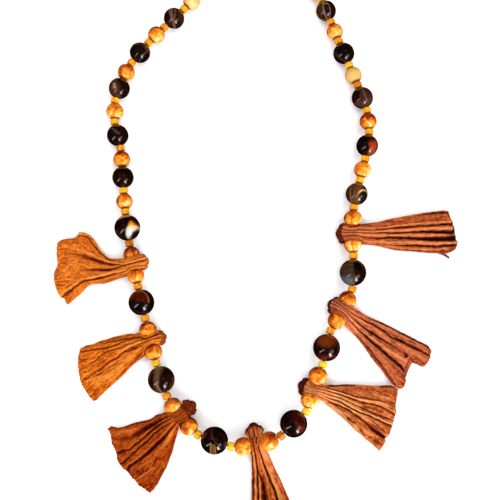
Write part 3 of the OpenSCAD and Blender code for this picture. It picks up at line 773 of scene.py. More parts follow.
# How far the strap over the thread reaches past the beads' ends on each side, how dark the painted shade in its creases
# is, where the head's painted shade ends, how far the strap is shifted along the string and how strong its small pleats
# are
STRAPS = [(1.45, 0.8, 0.50, 0.0, 1.0), (0.5, 0.8, 0.57, -0.2, 1.0), (0.80, 0.55, 0.63, 0.0, 1.0), (0.3, 0.9, 0.555, 0.2, 0.15),
          (0.95, 0.6, 0.60, -1.1, 0.6), (1.2, 0.65, 0.52, 0.0, 0.8), (1.45, 0.75, 0.575, -1.3, 0.8)]
FANS_DRAWN = [
    dict(view=(50, 225, 14.93), show=(0.0, 0.0),
         a=[(1110, 505), (1010, 497), (920, 497), (850, 470), (790, 410), (740, 345), (680, 250), (622, 172), (575, 135), (500, 108), (430, 106)],
         end=[(430, 106), (405, 150), (370, 180), (300, 205), (215, 212), (150, 232), (105, 275), (97, 340), (98, 430), (112, 540), (112, 590), (75, 680),
              (58, 760), (65, 850), (85, 930), (120, 1020), (155, 1080), (193, 1087), (215, 1110), (240, 1170), (258, 1195)],
         b=[(1190, 705), (1100, 745), (1000, 795), (900, 845), (800, 872), (700, 878), (600, 890), (550, 920), (480, 1000), (400, 1070), (330, 1130), (258, 1195)],
         folds=[
             [[(1105, 515), (1000, 530), (900, 520), (830, 482), (750, 412), (690, 338), (622, 262), (592, 205), (550, 165), (480, 155), (430, 150)], (0.3, 0.45, 0.35), (0.4, 0.9, 0.5), (0.5, 0.95, 0.7), 0.7, 0.2, False],
             [[(1100, 600), (1000, 590), (900, 580), (850, 572), (780, 555), (700, 530), (620, 500), (560, 480), (480, 445), (380, 410), (230, 375)], (0.35, 0.8, 1.1), (0.5, 1.5, 0.3), (0.6, 1.2, 0.1), 0.6, 0.2, True],
             [[(1100, 612), (1000, 638), (900, 662), (800, 668), (700, 662), (600, 662), (480, 655), (380, 690)], (0.35, 0.7, 0.9), (0.5, 1.4, 0.3), (0.6, 1.2, 0.15), 0.4, 0.3, True],
             [[(1160, 640), (1050, 680), (900, 710), (750, 752), (600, 790), (520, 808)], (0.35, 0.4, 0.35), (-0.2, -0.35, -0.2), (-0.5, -1.0, -0.5), 0, 0, False],
             [[(1190, 668), (1050, 705), (900, 748), (800, 778), (700, 800), (600, 820), (510, 832), (430, 882), (330, 950), (200, 1070), (190, 1080)], (0.3, 0.55, 0.45), (0.4, 1.1, 0.8), (0.4, 1.0, 0.7), 0.5, 0.2, True],
             [[(480, 800), (400, 870), (300, 935), (210, 1000), (150, 1050)], (0.3, 0.35, 0.3), (-0.2, -0.35, -0.2), (-0.3, -0.7, -0.3), 0, 0, False],
             [[(1180, 575), (1100, 575), (950, 565), (800, 520), (640, 440)], (0.3, 0.4, 0.4), (-0.15, -0.3, -0.1), (-0.4, -0.8, -0.2), 0, 0, False],
             [[(1190, 690), (1080, 735), (960, 790), (800, 835), (640, 850)], (0.3, 0.35, 0.3), (0.2, 0.3, 0.1), (0.3, 0.5, 0.1), 0.2, 0.2, False],
         ],
         marks=[([(90, 852), (150, 845), (220, 835), (285, 832)], 0.30, 0.35, 0.8), ([(95, 885), (150, 900), (215, 890)], 0.35, 0.4, 0.9),
                ([(105, 940), (150, 950)], 0.35, 0.3, 0.7), ([(240, 940), (290, 890), (320, 870)], 0.3, 0.3, 0.6),
                ([(220, 1010), (300, 960)], 0.35, 0.3, 0.5), ([(110, 610), (200, 480), (240, 400)], 0.5, 0.25, 0.35),
                ([(260, 560), (330, 500)], 0.3, -0.2, -0.7), ([(120, 780), (200, 700), (260, 620)], 0.45, -0.25, -0.7),
                ([(160, 830), (260, 740), (320, 680)], 0.4, -0.2, -0.5), ([(480, 390), (590, 420), (660, 450)], 0.4, -0.25, -0.7),
                ([(250, 1060), (300, 1010), (330, 990)], 0.5, 0.3, 0.6)]),
    dict(view=(75, 325, 16.5), show=(1.6, 0.0),
         a=[(1080, 128), (1000, 126), (900, 133), (800, 150), (700, 170), (600, 195), (500, 230), (400, 255), (340, 282), (290, 308), (200, 326), (150, 328)],
         end=[(150, 328), (110, 352), (82, 400), (62, 470), (50, 540), (48, 640), (55, 740), (70, 830), (90, 920), (105, 975), (150, 1050), (200, 1130), (250, 1200), (290, 1242), (320, 1252)],
         b=[(1150, 500), (1090, 545), (1000, 622), (900, 712), (800, 820), (700, 912), (600, 1000), (500, 1090), (420, 1170), (365, 1228), (320, 1252)],
         folds=[
             [[(1100, 190), (1000, 205), (900, 217), (750, 240), (620, 268), (500, 290), (380, 320)], (0.5, 0.6, 0.4), (0.6, 0.8, 0.3), (0.9, 0.8, 0.3), 0.1, 0.5, False],
             [[(1060, 215), (950, 235), (850, 255), (780, 275), (700, 308), (600, 352), (500, 378), (400, 388), (300, 405), (200, 425), (90, 442)], (0.3, 0.42, 0.45), (0.5, 0.8, 0.6), (0.5, 0.75, 0.7), 0.2, 0.4, True],
             [[(1090, 232), (1000, 265), (900, 305), (800, 352), (720, 378), (620, 412), (520, 445), (430, 495), (380, 545), (300, 605), (200, 680), (90, 745)], (0.3, 0.42, 0.6), (0.5, 0.7, 0.3), (0.55, 0.65, 0.25), 0.4, 0.4, True],
             [[(1110, 300), (1000, 352), (900, 388), (830, 428), (760, 482), (700, 532), (600, 585), (500, 655), (380, 745), (280, 812), (150, 885)], (0.33, 0.52, 0.6), (0.6, 0.9, 0.4), (0.65, 0.85, 0.3), 0.4, 0.4, True],
             [[(1150, 322), (1060, 355), (960, 402), (860, 440), (820, 446)], (0.3, 0.45, 0.35), (0.5, 0.8, 0.2), (0.7, 1.0, 0.4), 0.6, 0.4, True],
             [[(1120, 262), (1000, 310), (900, 345), (800, 400), (640, 470)], (0.35, 0.4, 0.35), (-0.2, -0.35, -0.1), (-0.8, -1.0, -0.3), 0, 0, False],
             [[(1070, 395), (960, 470), (880, 540), (780, 640), (640, 760), (500, 860), (300, 960)], (0.6, 0.9, 1.0), (-0.2, -0.3, -0.1), (-0.5, -0.6, -0.4), 0, 0, False],
             [[(1120, 440), (1000, 560), (860, 700), (700, 840), (560, 960)], (0.8, 1.2, 0.9), (0.2, 0.3, 0.1), (0.9, 0.25, 0.1), 0, 0, False],
             [[(760, 560), (640, 640), (520, 720), (420, 790)], (0.3, 0.4, 0.3), (0.3, 0.4, 0.2), (0.4, 0.5, 0.3), 0.3, 0.2, False],
         ],
         marks=[([(60, 560), (130, 575), (210, 550)], 0.3, 0.3, 0.8), ([(80, 600), (150, 600), (190, 610)], 0.3, 0.3, 0.7), ([(90, 690), (180, 660)], 0.3, 0.3, 0.5),
                ([(350, 825), (410, 800), (455, 790)], 0.3, 0.3, 0.7), ([(110, 950), (160, 900), (240, 860)], 0.35, 0.3, 0.6), ([(150, 700), (60, 740)], 0.3, 0.25, 0.5),
                ([(560, 930), (660, 850), (800, 700)], 0.35, -0.2, -0.8), ([(330, 1050), (420, 960), (560, 830)], 0.35, -0.2, -0.7), ([(200, 930), (300, 880), (420, 840)], 0.35, -0.2, -0.7),
                ([(260, 1180), (330, 1080), (380, 1050)], 0.35, 0.25, 0.4), ([(860, 600), (930, 540), (1000, 480)], 0.35, -0.2, -0.7), ([(390, 760), (470, 700)], 0.4, 0.3, 0.6),
                ([(700, 880), (760, 800), (840, 730)], 0.3, 0.2, 0.35)]),
    dict(view=(100, 400, 14.93), show=(1.0, 0.0),
         a=[(1010, 185), (950, 190), (840, 215), (780, 260), (720, 293), (600, 318), (500, 340), (420, 368), (350, 395), (280, 412), (230, 412), (170, 393), (130, 390)],
         end=[(130, 390), (108, 415), (130, 460), (158, 530), (168, 600), (190, 680), (220, 740), (245, 800), (255, 880), (285, 950), (330, 1010), (395, 1058), (440, 1110), (490, 1175), (530, 1210),
              (580, 1285), (640, 1320), (700, 1365), (745, 1388)],
         b=[(1178, 350), (1170, 420), (1155, 490), (1135, 570), (1110, 660), (1080, 780), (1040, 880), (1000, 990), (950, 1080), (900, 1180), (850, 1270), (800, 1340), (745, 1388)],
         folds=[
             [[(1050, 215), (1000, 250), (900, 300), (830, 342), (740, 390), (650, 445), (560, 505), (450, 560), (330, 605)], (0.4, 1.5, 1.4), (0.5, 1.3, 0.4), (0.6, 1.0, 0.35), 0.3, 0.0, False],
             [[(1060, 250), (990, 290), (935, 310), (850, 362), (760, 430), (700, 480), (645, 550), (600, 590), (500, 665), (445, 715)], (0.3, 0.35, 0.35), (-0.2, -0.5, -0.4), (-0.7, -1.2, -0.6), 0, 0, False],
             [[(1080, 262), (1000, 305), (900, 358), (800, 430), (715, 500), (640, 575), (590, 612), (500, 685), (460, 725), (380, 750), (270, 795)], (0.3, 0.45, 0.5), (0.5, 1.3, 0.8), (0.7, 1.1, 0.9), 0.3, 0.1, True],
             [[(1110, 290), (1040, 345), (955, 398), (850, 470), (762, 552), (680, 635), (600, 705), (520, 772), (425, 858), (340, 935), (312, 950)], (0.3, 0.45, 0.45), (0.5, 1.3, 1.0), (0.7, 1.15, 1.0), 0.6, 0.2, True],
             [[(1150, 330), (1080, 405), (1000, 500), (950, 570), (880, 632), (800, 712), (700, 800), (600, 882), (500, 952), (425, 1005), (418, 1040)], (0.35, 0.7, 0.6), (0.6, 1.7, 1.3), (0.8, 1.25, 1.1), 0.7, 0.2, True],
             [[(1150, 352), (1100, 440), (1050, 520), (1000, 610), (930, 690), (850, 770)], (0.5, 0.9, 0.6), (-0.2, -0.3, -0.1), (-0.9, -1.2, -0.4), 0, 0, False],
             [[(940, 560), (870, 640), (780, 730), (700, 800)], (0.6, 1.0, 0.8), (0.2, 0.2, 0.1), (0.3, 0.5, 0.3), 0, 0, False],
             [[(1155, 430), (1110, 560), (1070, 680), (1010, 800)], (0.5, 0.7, 0.6), (0.2, 0.25, 0.1), (0.3, 0.5, 0.2), 0, 0, False],
             [[(850, 480), (790, 540), (720, 600), (560, 740), (430, 860)], (0.35, 0.4, 0.4), (-0.2, -0.3, -0.2), (-0.6, -0.9, -0.4), 0, 0, False],
         ],
         marks=[([(845, 865), (825, 920), (795, 985)], 0.60, -0.3, 0.8), ([(650, 1050), (635, 1080), (600, 1110)], 0.55, -0.3, 0.8), ([(560, 1180), (610, 1190)], 0.6, 0.2, 0.5),
                ([(800, 1005), (700, 1085), (600, 1150), (535, 1190)], 0.3, -0.3, -0.9), ([(780, 1240), (750, 1300), (700, 1330)], 0.4, 0.3, 0.9), ([(640, 1290), (700, 1270)], 0.3, 0.3, 0.7),
                ([(440, 1075), (480, 1130)], 0.35, 0.35, 0.8), ([(480, 1060), (510, 1100), (490, 1140)], 0.3, 0.3, 0.7), ([(560, 1020), (650, 960), (760, 900)], 0.35, -0.2, -0.7),
                ([(840, 1130), (890, 1040), (940, 930)], 0.35, -0.2, -0.6), ([(900, 1120), (960, 1010)], 0.35, 0.25, 0.5), ([(1010, 870), (1050, 740)], 0.35, 0.25, 0.5), ([(170, 560), (280, 590), (400, 560)], 0.4, 0.3, 0.5),
                ([(220, 620), (300, 640), (400, 650)], 0.4, -0.2, -0.5), ([(230, 500), (330, 470), (520, 430)], 0.6, -0.2, -0.6), ([(270, 780), (350, 745)], 0.3, 0.4, 1.0)]),
    dict(view=(238, 420, 19.6), show=(0.0, 0.0),
         a=[(252, 330), (255, 430), (258, 560), (264, 700), (269, 850), (272, 1000), (272, 1150), (268, 1300), (264, 1450), (262, 1600), (258, 1770), (255, 1940), (254, 2110)],
         end=[(254, 2110), (300, 2150), (370, 2172), (450, 2176), (530, 2190), (620, 2202), (700, 2196), (790, 2204), (880, 2192), (970, 2188), (1060, 2168), (1150, 2150), (1240, 2118)],
         b=[(500, 330), (505, 440), (540, 570), (592, 680), (650, 800), (702, 900), (760, 1020), (812, 1120), (864, 1230), (922, 1370), (980, 1500), (1020, 1590), (1092, 1760), (1166, 1940), (1240, 2118)],
         folds=[
             [[(285, 330), (285, 420), (300, 500), (325, 600), (345, 740), (368, 880), (382, 1000), (383, 1150), (388, 1300), (396, 1450), (402, 1600), (408, 1850), (416, 2150)], (0.35, 0.4, 0.45), (0.6, 1.1, 1.0), (0.8, 1.1, 1.0), 0.3, 0.4, True],
             [[(365, 890), (400, 1010), (442, 1090), (475, 1220), (500, 1350), (515, 1470), (525, 1600), (556, 1850), (592, 2160)], (0.3, 1.2, 1.9), (0.5, 2.0, 2.0), (0.5, 1.35, 1.5), 0.5, 0.0, False],
             [[(368, 330), (385, 430), (408, 560), (440, 655), (472, 765), (512, 885), (548, 985), (595, 1085), (635, 1185), (680, 1290), (725, 1400), (755, 1500), (780, 1600), (868, 1860), (962, 2150)], (0.35, 0.5, 0.75), (0.6, 1.4, 1.2), (0.9, 1.15, 1.1), 0.3, 0.6, True],
             [[(300, 620), (318, 760), (330, 900), (338, 1050), (342, 1200), (342, 1400), (345, 1600), (346, 1850), (350, 2150)], (0.3, 0.4, 0.4), (-0.2, -0.4, -0.3), (-0.5, -1.1, -0.6), 0, 0, False],
             [[(398, 1010), (415, 1150), (425, 1300), (430, 1450), (434, 1600), (442, 1850), (455, 2150)], (0.25, 0.35, 0.35), (-0.2, -0.4, -0.3), (-0.6, -1.1, -0.8), 0, 0, False],
             [[(262, 500), (280, 700), (290, 900), (300, 1100), (300, 1300), (295, 1600), (292, 1850), (290, 2140)], (0.5, 0.8, 0.8), (0.2, 0.3, 0.3), (0.6, 0.7, 0.6), 0, 0, False],
             [[(400, 480), (430, 620), (455, 760), (500, 920), (560, 1120)], (0.4, 0.5, 0.4), (-0.1, -0.3, -0.1), (-0.2, -0.6, -0.3), 0, 0, False],
             [[(470, 480), (500, 620), (560, 780), (640, 980), (700, 1130), (760, 1300), (880, 1600), (1060, 2050)], (0.9, 1.3, 1.0), (-0.2, -0.3, -0.2), (-0.8, -0.7, -0.5), 0, 0, False],
             [[(490, 340), (505, 470), (560, 600), (630, 730)], (0.3, 0.35, 0.3), (-0.1, -0.2, -0.1), (-0.5, -0.8, -0.4), 0, 0, False],
         ],
         marks=[([(720, 1150), (760, 1190), (740, 1230)], 0.6, 0.2, 0.5), ([(560, 820), (620, 920)], 0.5, 0.2, 0.35), ([(670, 1030), (720, 1060)], 0.4, 0.2, 0.4), ([(820, 1330), (860, 1420)], 0.5, 0.2, 0.45),
                ([(570, 1200), (610, 1330)], 0.4, -0.2, -0.5), ([(650, 1090), (690, 1220), (740, 1330)], 0.4, -0.2, -0.9), ([(450, 900), (520, 960), (540, 1000)], 0.4, -0.2, -0.5)]),
    dict(view=(295, 370, 14.25), show=(0.0, 0.0),
         a=[(325, 385), (400, 443), (480, 512), (560, 582), (640, 652), (720, 722), (800, 800), (860, 862), (950, 930), (1000, 980), (1080, 1040), (1150, 1105), (1205, 1155)],
         end=[(1205, 1155), (1240, 1110), (1270, 1060), (1298, 1015), (1288, 985), (1320, 950), (1350, 910), (1368, 850), (1395, 780), (1412, 700), (1435, 640), (1446, 600), (1438, 500), (1450, 420), (1465, 340), (1470, 265)],
         b=[(440, 222), (500, 210), (600, 204), (700, 201), (850, 205), (950, 210), (1050, 219), (1150, 222), (1225, 221), (1300, 214), (1390, 222), (1470, 265)],
         folds=[
             [[(330, 265), (450, 288), (600, 338), (700, 368), (850, 418), (950, 457), (1050, 476), (1180, 510), (1290, 555), (1400, 622)], (0.28, 0.38, 0.45), (0.4, 0.9, 0.9), (0.45, 0.85, 0.85), 0.1, 0.9, True],
             [[(335, 300), (500, 352), (650, 402), (800, 462), (850, 490), (930, 530), (1100, 608), (1250, 668), (1350, 700)], (0.24, 0.28, 0.32), (0.3, 0.6, 0.5), (0.40, 0.60, 0.6), 0.5, 0.7, True],
             [[(325, 332), (500, 405), (650, 455), (780, 540), (850, 572), (950, 616), (1080, 662), (1200, 716), (1300, 770), (1365, 792)], (0.26, 0.36, 0.48), (0.4, 1.0, 1.0), (0.45, 0.85, 1.0), 0.1, 1.0, True],
             [[(345, 372), (450, 425), (560, 480), (650, 510), (750, 562), (860, 640), (940, 695), (1030, 770), (1100, 835), (1150, 875), (1230, 925), (1295, 975)], (0.28, 0.48, 0.8), (0.4, 1.2, 1.0), (0.50, 0.95, 0.8), 0.1, 0.5, True],
             [[(440, 440), (560, 492), (640, 545), (720, 590)], (0.25, 0.3, 0.25), (0.3, 0.5, 0.3), (0.5, 0.8, 0.4), 0.4, 0.3, False],
             [[(345, 250), (450, 272), (600, 314), (750, 362), (900, 412), (1050, 440), (1200, 455), (1300, 500), (1400, 570)], (0.3, 0.35, 0.35), (-0.3, -0.5, -0.3), (-0.9, -1.3, -0.8), 0, 0, False],
             [[(345, 285), (500, 330), (650, 380), (750, 430), (850, 468), (950, 500)], (0.25, 0.3, 0.3), (-0.2, -0.4, -0.2), (-0.9, -1.1, -0.6), 0, 0, False],
             [[(340, 318), (500, 375), (650, 425), (760, 490), (860, 550), (950, 590), (1050, 632), (1150, 682), (1250, 722), (1340, 745)], (0.3, 0.38, 0.42), (-0.3, -0.5, -0.4), (-0.9, -1.3, -1.4), 0, 0, False],
             [[(345, 345), (560, 450), (700, 520), (860, 600), (1000, 670), (1100, 740)], (0.3, 0.4, 0.4), (-0.2, -0.3, -0.2), (-0.9, -0.9, -0.3), 0, 0, False],
             [[(400, 262), (560, 282), (700, 322), (850, 372), (1000, 400), (1150, 428), (1300, 450), (1440, 475)], (0.35, 0.45, 0.5), (0.2, 0.4, 0.3), (0.5, 0.7, 0.4), 0, 0, False],
             [[(420, 450), (600, 580), (760, 700), (900, 820), (1050, 950), (1150, 1040)], (0.8, 1.2, 1.2), (-0.2, -0.3, -0.2), (-0.8, -0.7, -0.3), 0, 0, False],
         ],
         marks=[([(930, 850), (960, 890), (1000, 935)], 0.3, 0.3, 0.8), ([(760, 690), (820, 740), (860, 750)], 0.7, 0.2, 0.7), ([(1000, 890), (1060, 960)], 0.5, 0.2, 0.4), ([(1150, 1010), (1230, 1060)], 0.8, 0.2, 0.6),
                ([(1230, 232), (1330, 232), (1400, 240)], 0.6, 0.2, 1.0), ([(500, 222), (640, 214), (850, 216)], 0.4, 0.2, 0.8), ([(1100, 850), (1180, 900), (1260, 960)], 0.8, 0.3, 0.8),
                ([(500, 255), (540, 250), (600, 262)], 0.25, -0.2, -0.7), ([(750, 300), (840, 340), (920, 380)], 0.3, -0.2, -0.6), ([(900, 270), (980, 320), (1050, 340)], 0.3, -0.2, -0.6),
                ([(1080, 300), (1180, 370), (1320, 410)], 0.3, -0.25, -0.8), ([(1150, 260), (1250, 310), (1380, 360)], 0.3, -0.2, -0.6), ([(1240, 380), (1340, 400), (1420, 440)], 0.3, -0.25, -0.9),
                ([(1000, 520), (1100, 545), (1220, 590)], 0.5, 0.25, 0.6), ([(980, 510), (1010, 530)], 0.3, 0.2, 0.6), ([(1120, 740), (1200, 800), (1290, 900)], 0.35, 0.3, 0.6), ([(1200, 820), (1260, 870), (1310, 930)], 0.3, -0.2, -0.8),
                ([(1330, 530), (1400, 560)], 0.35, 0.3, 0.7), ([(1360, 660), (1410, 690)], 0.35, 0.3, 0.6),
                ([(470, 232), (700, 240), (950, 262), (1200, 300), (1430, 330)], 1.6, 0.05, 0.40), ([(700, 300), (950, 350), (1200, 390), (1430, 440)], 1.0, 0.05, 0.32),
                ([(700, 640), (760, 690)], 0.9, 0.05, 0.38), ([(900, 800), (960, 860)], 1.0, 0.05, 0.38), ([(1080, 960), (1150, 1030)], 1.1, 0.05, 0.42),
                ([(960, 560), (1180, 640), (1300, 680)], 1.0, 0.05, 0.42), ([(1100, 780), (1220, 860)], 1.0, 0.05, 0.45)]),
    dict(view=(325, 290, 13.63), show=(0.0, 0.0),
         a=[(272, 455), (285, 475), (330, 532), (400, 612), (470, 692), (540, 782), (600, 870), (670, 970), (740, 1052), (800, 1130), (850, 1200), (905, 1262), (955, 1312), (1010, 1345)],
         end=[(1010, 1345), (1060, 1338), (1090, 1298), (1108, 1235), (1095, 1190), (1078, 1130), (1085, 1065), (1108, 1000), (1135, 950), (1165, 938), (1205, 965), (1250, 1002), (1290, 1035), (1345, 1044), (1400, 1000),
              (1430, 930), (1447, 870), (1455, 810)],
         low_end=[(1010, 1345), (1060, 1338), (1090, 1298), (1115, 1235), (1140, 1170), (1160, 1110), (1190, 1050), (1215, 1000), (1260, 1012), (1345, 1030), (1400, 995), (1430, 930), (1440, 870), (1448, 815)],
         b=[(420, 258), (500, 310), (600, 360), (700, 405), (800, 450), (900, 496), (1000, 550), (1100, 600), (1200, 650), (1300, 702), (1400, 747), (1455, 810)],
         folds=[
             [[(400, 272), (500, 325), (600, 378), (750, 440), (900, 508), (1000, 560), (1100, 618), (1250, 690), (1440, 795)], (0.25, 0.4, 0.45), (0.4, 0.9, 0.8), (0.7, 1.1, 0.9), 0.3, 0.2, True],
             [[(370, 312), (430, 352), (520, 405), (600, 445), (700, 492), (800, 555), (900, 640), (1000, 682), (1100, 732), (1200, 782), (1300, 832), (1440, 890)], (0.40, 0.42, 0.33), (0.8, 1.1, 0.7), (0.9, 1.05, 0.9), 0.5, 0.4, True],
             [[(350, 362), (440, 440), (520, 502), (600, 555), (700, 618), (750, 652), (800, 685), (900, 745), (1000, 812), (1100, 875), (1170, 925), (1210, 965)], (0.3, 0.52, 0.70), (0.5, 1.7, 1.6), (0.6, 1.25, 1.4), 0.4, 0.4, True],
             [[(310, 395), (380, 455), (480, 562), (560, 632), (640, 702), (740, 792), (850, 882), (950, 972), (1040, 1045), (1085, 1120), (1110, 1200)], (0.3, 0.52, 0.55), (0.5, 1.6, 1.5), (0.6, 1.25, 1.3), 0.4, 0.4, True],
             [[(400, 585), (500, 680), (650, 860), (750, 1000), (850, 1135), (940, 1280)], (0.3, 0.5, 0.5), (0.2, 0.6, 0.5), (0.4, 0.7, 0.6), 0.0, 0.4, False],
             [[(600, 405), (700, 450), (850, 520), (950, 580), (1100, 650), (1300, 745)], (0.3, 0.35, 0.35), (-0.2, -0.35, -0.2), (-0.7, -0.8, -0.5), 0, 0, False],
             [[(370, 335), (500, 425), (640, 505), (760, 590), (880, 690), (1000, 740), (1200, 850), (1350, 930)], (0.5, 0.7, 0.8), (-0.2, -0.3, -0.2), (-0.7, -0.7, -0.4), 0, 0, False],
             [[(330, 372), (450, 490), (560, 590), (700, 700), (850, 810), (1000, 900), (1110, 965)], (0.5, 0.6, 0.6), (-0.2, -0.3, -0.2), (-0.6, -0.8, -0.9), 0, 0, False],
             [[(290, 410), (400, 530), (500, 640), (620, 760), (760, 900), (900, 1060), (1020, 1200)], (0.5, 0.8, 1.0), (-0.2, -0.2, -0.1), (-0.6, -0.5, -0.2), 0, 0, False],
             [[(760, 520), (840, 560), (960, 640), (1060, 690), (1180, 750), (1300, 810)], (0.25, 0.3, 0.3), (0.2, 0.3, 0.2), (0.5, 0.6, 0.5), 0.2, 0.2, False],
         ],
         marks=[([(560, 520), (600, 545)], 0.35, -0.2, -0.8), ([(610, 590), (640, 620)], 0.5, 0.2, 0.5), ([(520, 515), (550, 545)], 0.4, -0.2, -0.9), ([(650, 640), (680, 670)], 0.5, -0.2, -1.0), ([(810, 780), (860, 830)], 0.45, -0.2, -0.9),
                ([(960, 880), (1000, 920)], 0.4, -0.3, -0.9), ([(1020, 990), (1090, 1020)], 0.6, -0.2, -1.0), ([(1090, 1060), (1130, 1000), (1170, 950)], 0.3, 0.4, 0.9), ([(700, 740), (760, 780)], 0.5, 0.2, 0.5),
                ([(990, 720), (1020, 745)], 0.4, -0.2, -0.9), ([(900, 690), (960, 720)], 0.4, 0.2, 0.5), ([(1150, 690), (1230, 730)], 0.35, 0.2, 0.6), ([(1180, 620), (1240, 660)], 0.3, 0.2, 0.6),
                ([(740, 980), (800, 1060), (850, 1110)], 0.4, -0.2, -0.5), ([(900, 1100), (960, 1180)], 0.5, 0.2, 0.4), ([(1040, 1250), (1070, 1290)], 0.4, 0.3, 0.7), ([(480, 520), (540, 560)], 0.35, 0.2, 0.5)]),
    dict(view=(330, 205, 11.6), show=(0.0, 0.0), fibres=[[((1225, 545), 2.2), ((1290, 560), 1.9), ((1340, 585), 1.4), ((1385, 615), 0.7)]],
         a=[(372, 436), (450, 450), (550, 470), (650, 495), (750, 520), (850, 530), (1000, 540), (1100, 550), (1250, 557), (1320, 560), (1400, 545)],
         end=[(1400, 545), (1440, 520), (1475, 480), (1486, 430), (1470, 380), (1460, 330), (1450, 270), (1430, 210), (1405, 150), (1388, 85)],
         b=[(385, 220), (450, 208), (550, 190), (650, 172), (750, 150), (850, 130), (950, 112), (1050, 95), (1150, 80), (1250, 68), (1350, 62), (1388, 85)],
         folds=[
             [[(375, 288), (450, 290), (600, 285), (700, 266), (800, 260), (900, 250), (1000, 242), (1150, 235), (1300, 225), (1440, 214)], (0.3, 0.45, 0.55), (0.4, 1.1, 1.2), (0.5, 1.0, 1.2), 0.3, 0.4, True],
             [[(375, 320), (450, 320), (600, 320), (750, 322), (900, 315), (1050, 307), (1150, 307), (1300, 310), (1450, 307)], (0.25, 0.4, 0.85), (0.4, 1.0, 1.9), (0.5, 0.9, 1.5), 0.5, 0.5, True],
             [[(375, 370), (450, 375), (560, 385), (700, 376), (850, 378), (1000, 385), (1150, 392), (1300, 388), (1460, 382)], (0.3, 0.6, 1.3), (0.5, 1.3, 2.0), (0.7, 1.2, 1.5), 0.5, 0.4, True],
             [[(700, 462), (780, 466), (900, 468), (1000, 468), (1150, 476), (1300, 471), (1450, 462)], (0.3, 0.5, 0.6), (0.3, 1.1, 1.0), (0.4, 1.2, 1.1), 0.3, 0.4, False],
             [[(1000, 122), (1080, 110), (1150, 99), (1250, 90), (1370, 82)], (0.3, 0.45, 0.45), (0.3, 0.6, 0.6), (0.6, 1.0, 1.0), 0.2, 0.1, False],
             [[(380, 262), (500, 265), (640, 262), (800, 235), (1000, 215), (1200, 200), (1400, 190)], (0.3, 0.4, 0.5), (-0.2, -0.3, -0.3), (-0.6, -0.5, -0.7), 0, 0, False],
             [[(380, 304), (600, 302), (750, 298), (900, 288), (1050, 275), (1200, 268), (1400, 265)], (0.35, 0.45, 0.55), (-0.2, -0.4, -0.4), (-0.8, -0.9, -1.0), 0, 0, False],
             [[(380, 345), (560, 348), (700, 350), (850, 350), (1000, 348), (1150, 352), (1400, 345)], (0.4, 0.45, 0.5), (-0.2, -0.4, -0.4), (-0.8, -1.0, -0.8), 0, 0, False],
             [[(380, 405), (560, 422), (700, 430), (850, 430), (1000, 432), (1200, 440), (1450, 430)], (0.4, 0.6, 0.5), (-0.2, -0.3, -0.4), (-0.8, -0.9, -0.9), 0, 0, False],
             [[(500, 450), (650, 475), (800, 495), (950, 505), (1150, 515), (1350, 505)], (0.4, 0.5, 0.6), (-0.1, -0.2, -0.3), (-0.6, -0.7, -0.8), 0, 0, False],
         ],
         marks=[([(910, 350), (930, 375)], 0.3, 0.3, 0.7), ([(1050, 250), (1090, 290)], 0.35, -0.2, -0.7), ([(1150, 345), (1180, 360)], 0.4, -0.2, -0.9), ([(620, 225), (700, 215)], 0.4, -0.2, -0.5), ([(1130, 165), (1160, 150)], 0.5, 0.2, 0.4),
                ([(1370, 100), (1380, 140)], 0.35, 0.2, 0.8), ([(900, 440), (900, 470)], 0.3, 0.25, 0.7), ([(1280, 545), (1300, 520), (1330, 540)], 0.4, 0.3, 0.8), ([(1440, 240), (1446, 290)], 0.4, 0.4, 1.2),
                ([(860, 520), (900, 500)], 0.4, 0.2, 0.4), ([(1060, 505), (1120, 525)], 0.4, -0.2, -0.7)]),
]
NC, NU, NL = 128, 76, 18
WALL = 0.72


def drawn(view, p, z):
    """The point at height z that the photograph shows at p of an enlarged view."""
    x, y = (view[0] + p[0] / view[2] - 250) / 788.3, (250 - view[1] - p[1] / view[2]) / 788.3
    s, c = math.sin(ELEVATION), math.cos(ELEVATION)
    way = Vector((x, c + s * y, c * y - s))
    eye = cam.location / MM
    return eye + way * ((z - eye.z) / way.z)


def smooth_line(points, n):
    """n + 1 points in even steps along a smooth curve through the given ones."""
    p = [2 * points[0] - points[1]] + list(points) + [2 * points[-1] - points[-2]]
    fine = [Vector(bend(p[i - 1], p[i], p[i + 1], p[i + 2], j / 10)) for i in range(1, len(p) - 2) for j in range(10)]
    fine.append(points[-1].copy())
    run = [0.0]
    for a, b in zip(fine, fine[1:]):
        run.append(run[-1] + (b - a).length)
    out, k = [], 0
    for i in range(n + 1):
        s = run[-1] * i / n
        while k < len(run) - 2 and run[k + 1] < s:
            k += 1
        out.append(fine[k].lerp(fine[k + 1], (s - run[k]) / max(1e-9, run[k + 1] - run[k])))
    return out


def three(values, x):
    """A value that goes from the first through the second to the third."""
    return values[0] + (values[1] - values[0]) * ease(2 * x) if x < 0.5 else values[1] + (values[2] - values[1]) * ease(2 * x - 1)


def bell(x):
    return math.exp(-x * x) if -4 < x < 4 else 0.0


def to_segments(x, y, pts):
    """Distance from x, y to a chain of flat points."""
    best = 1e9
    for (ax, ay), (bx, by) in zip(pts, pts[1:]):
        ux, uy = bx - ax, by - ay
        t = max(0.0, min(1.0, ((x - ax) * ux + (y - ay) * uy) / max(1e-9, ux * ux + uy * uy)))
        best = min(best, math.hypot(x - ax - ux * t, y - ay - uy * t))
    return best


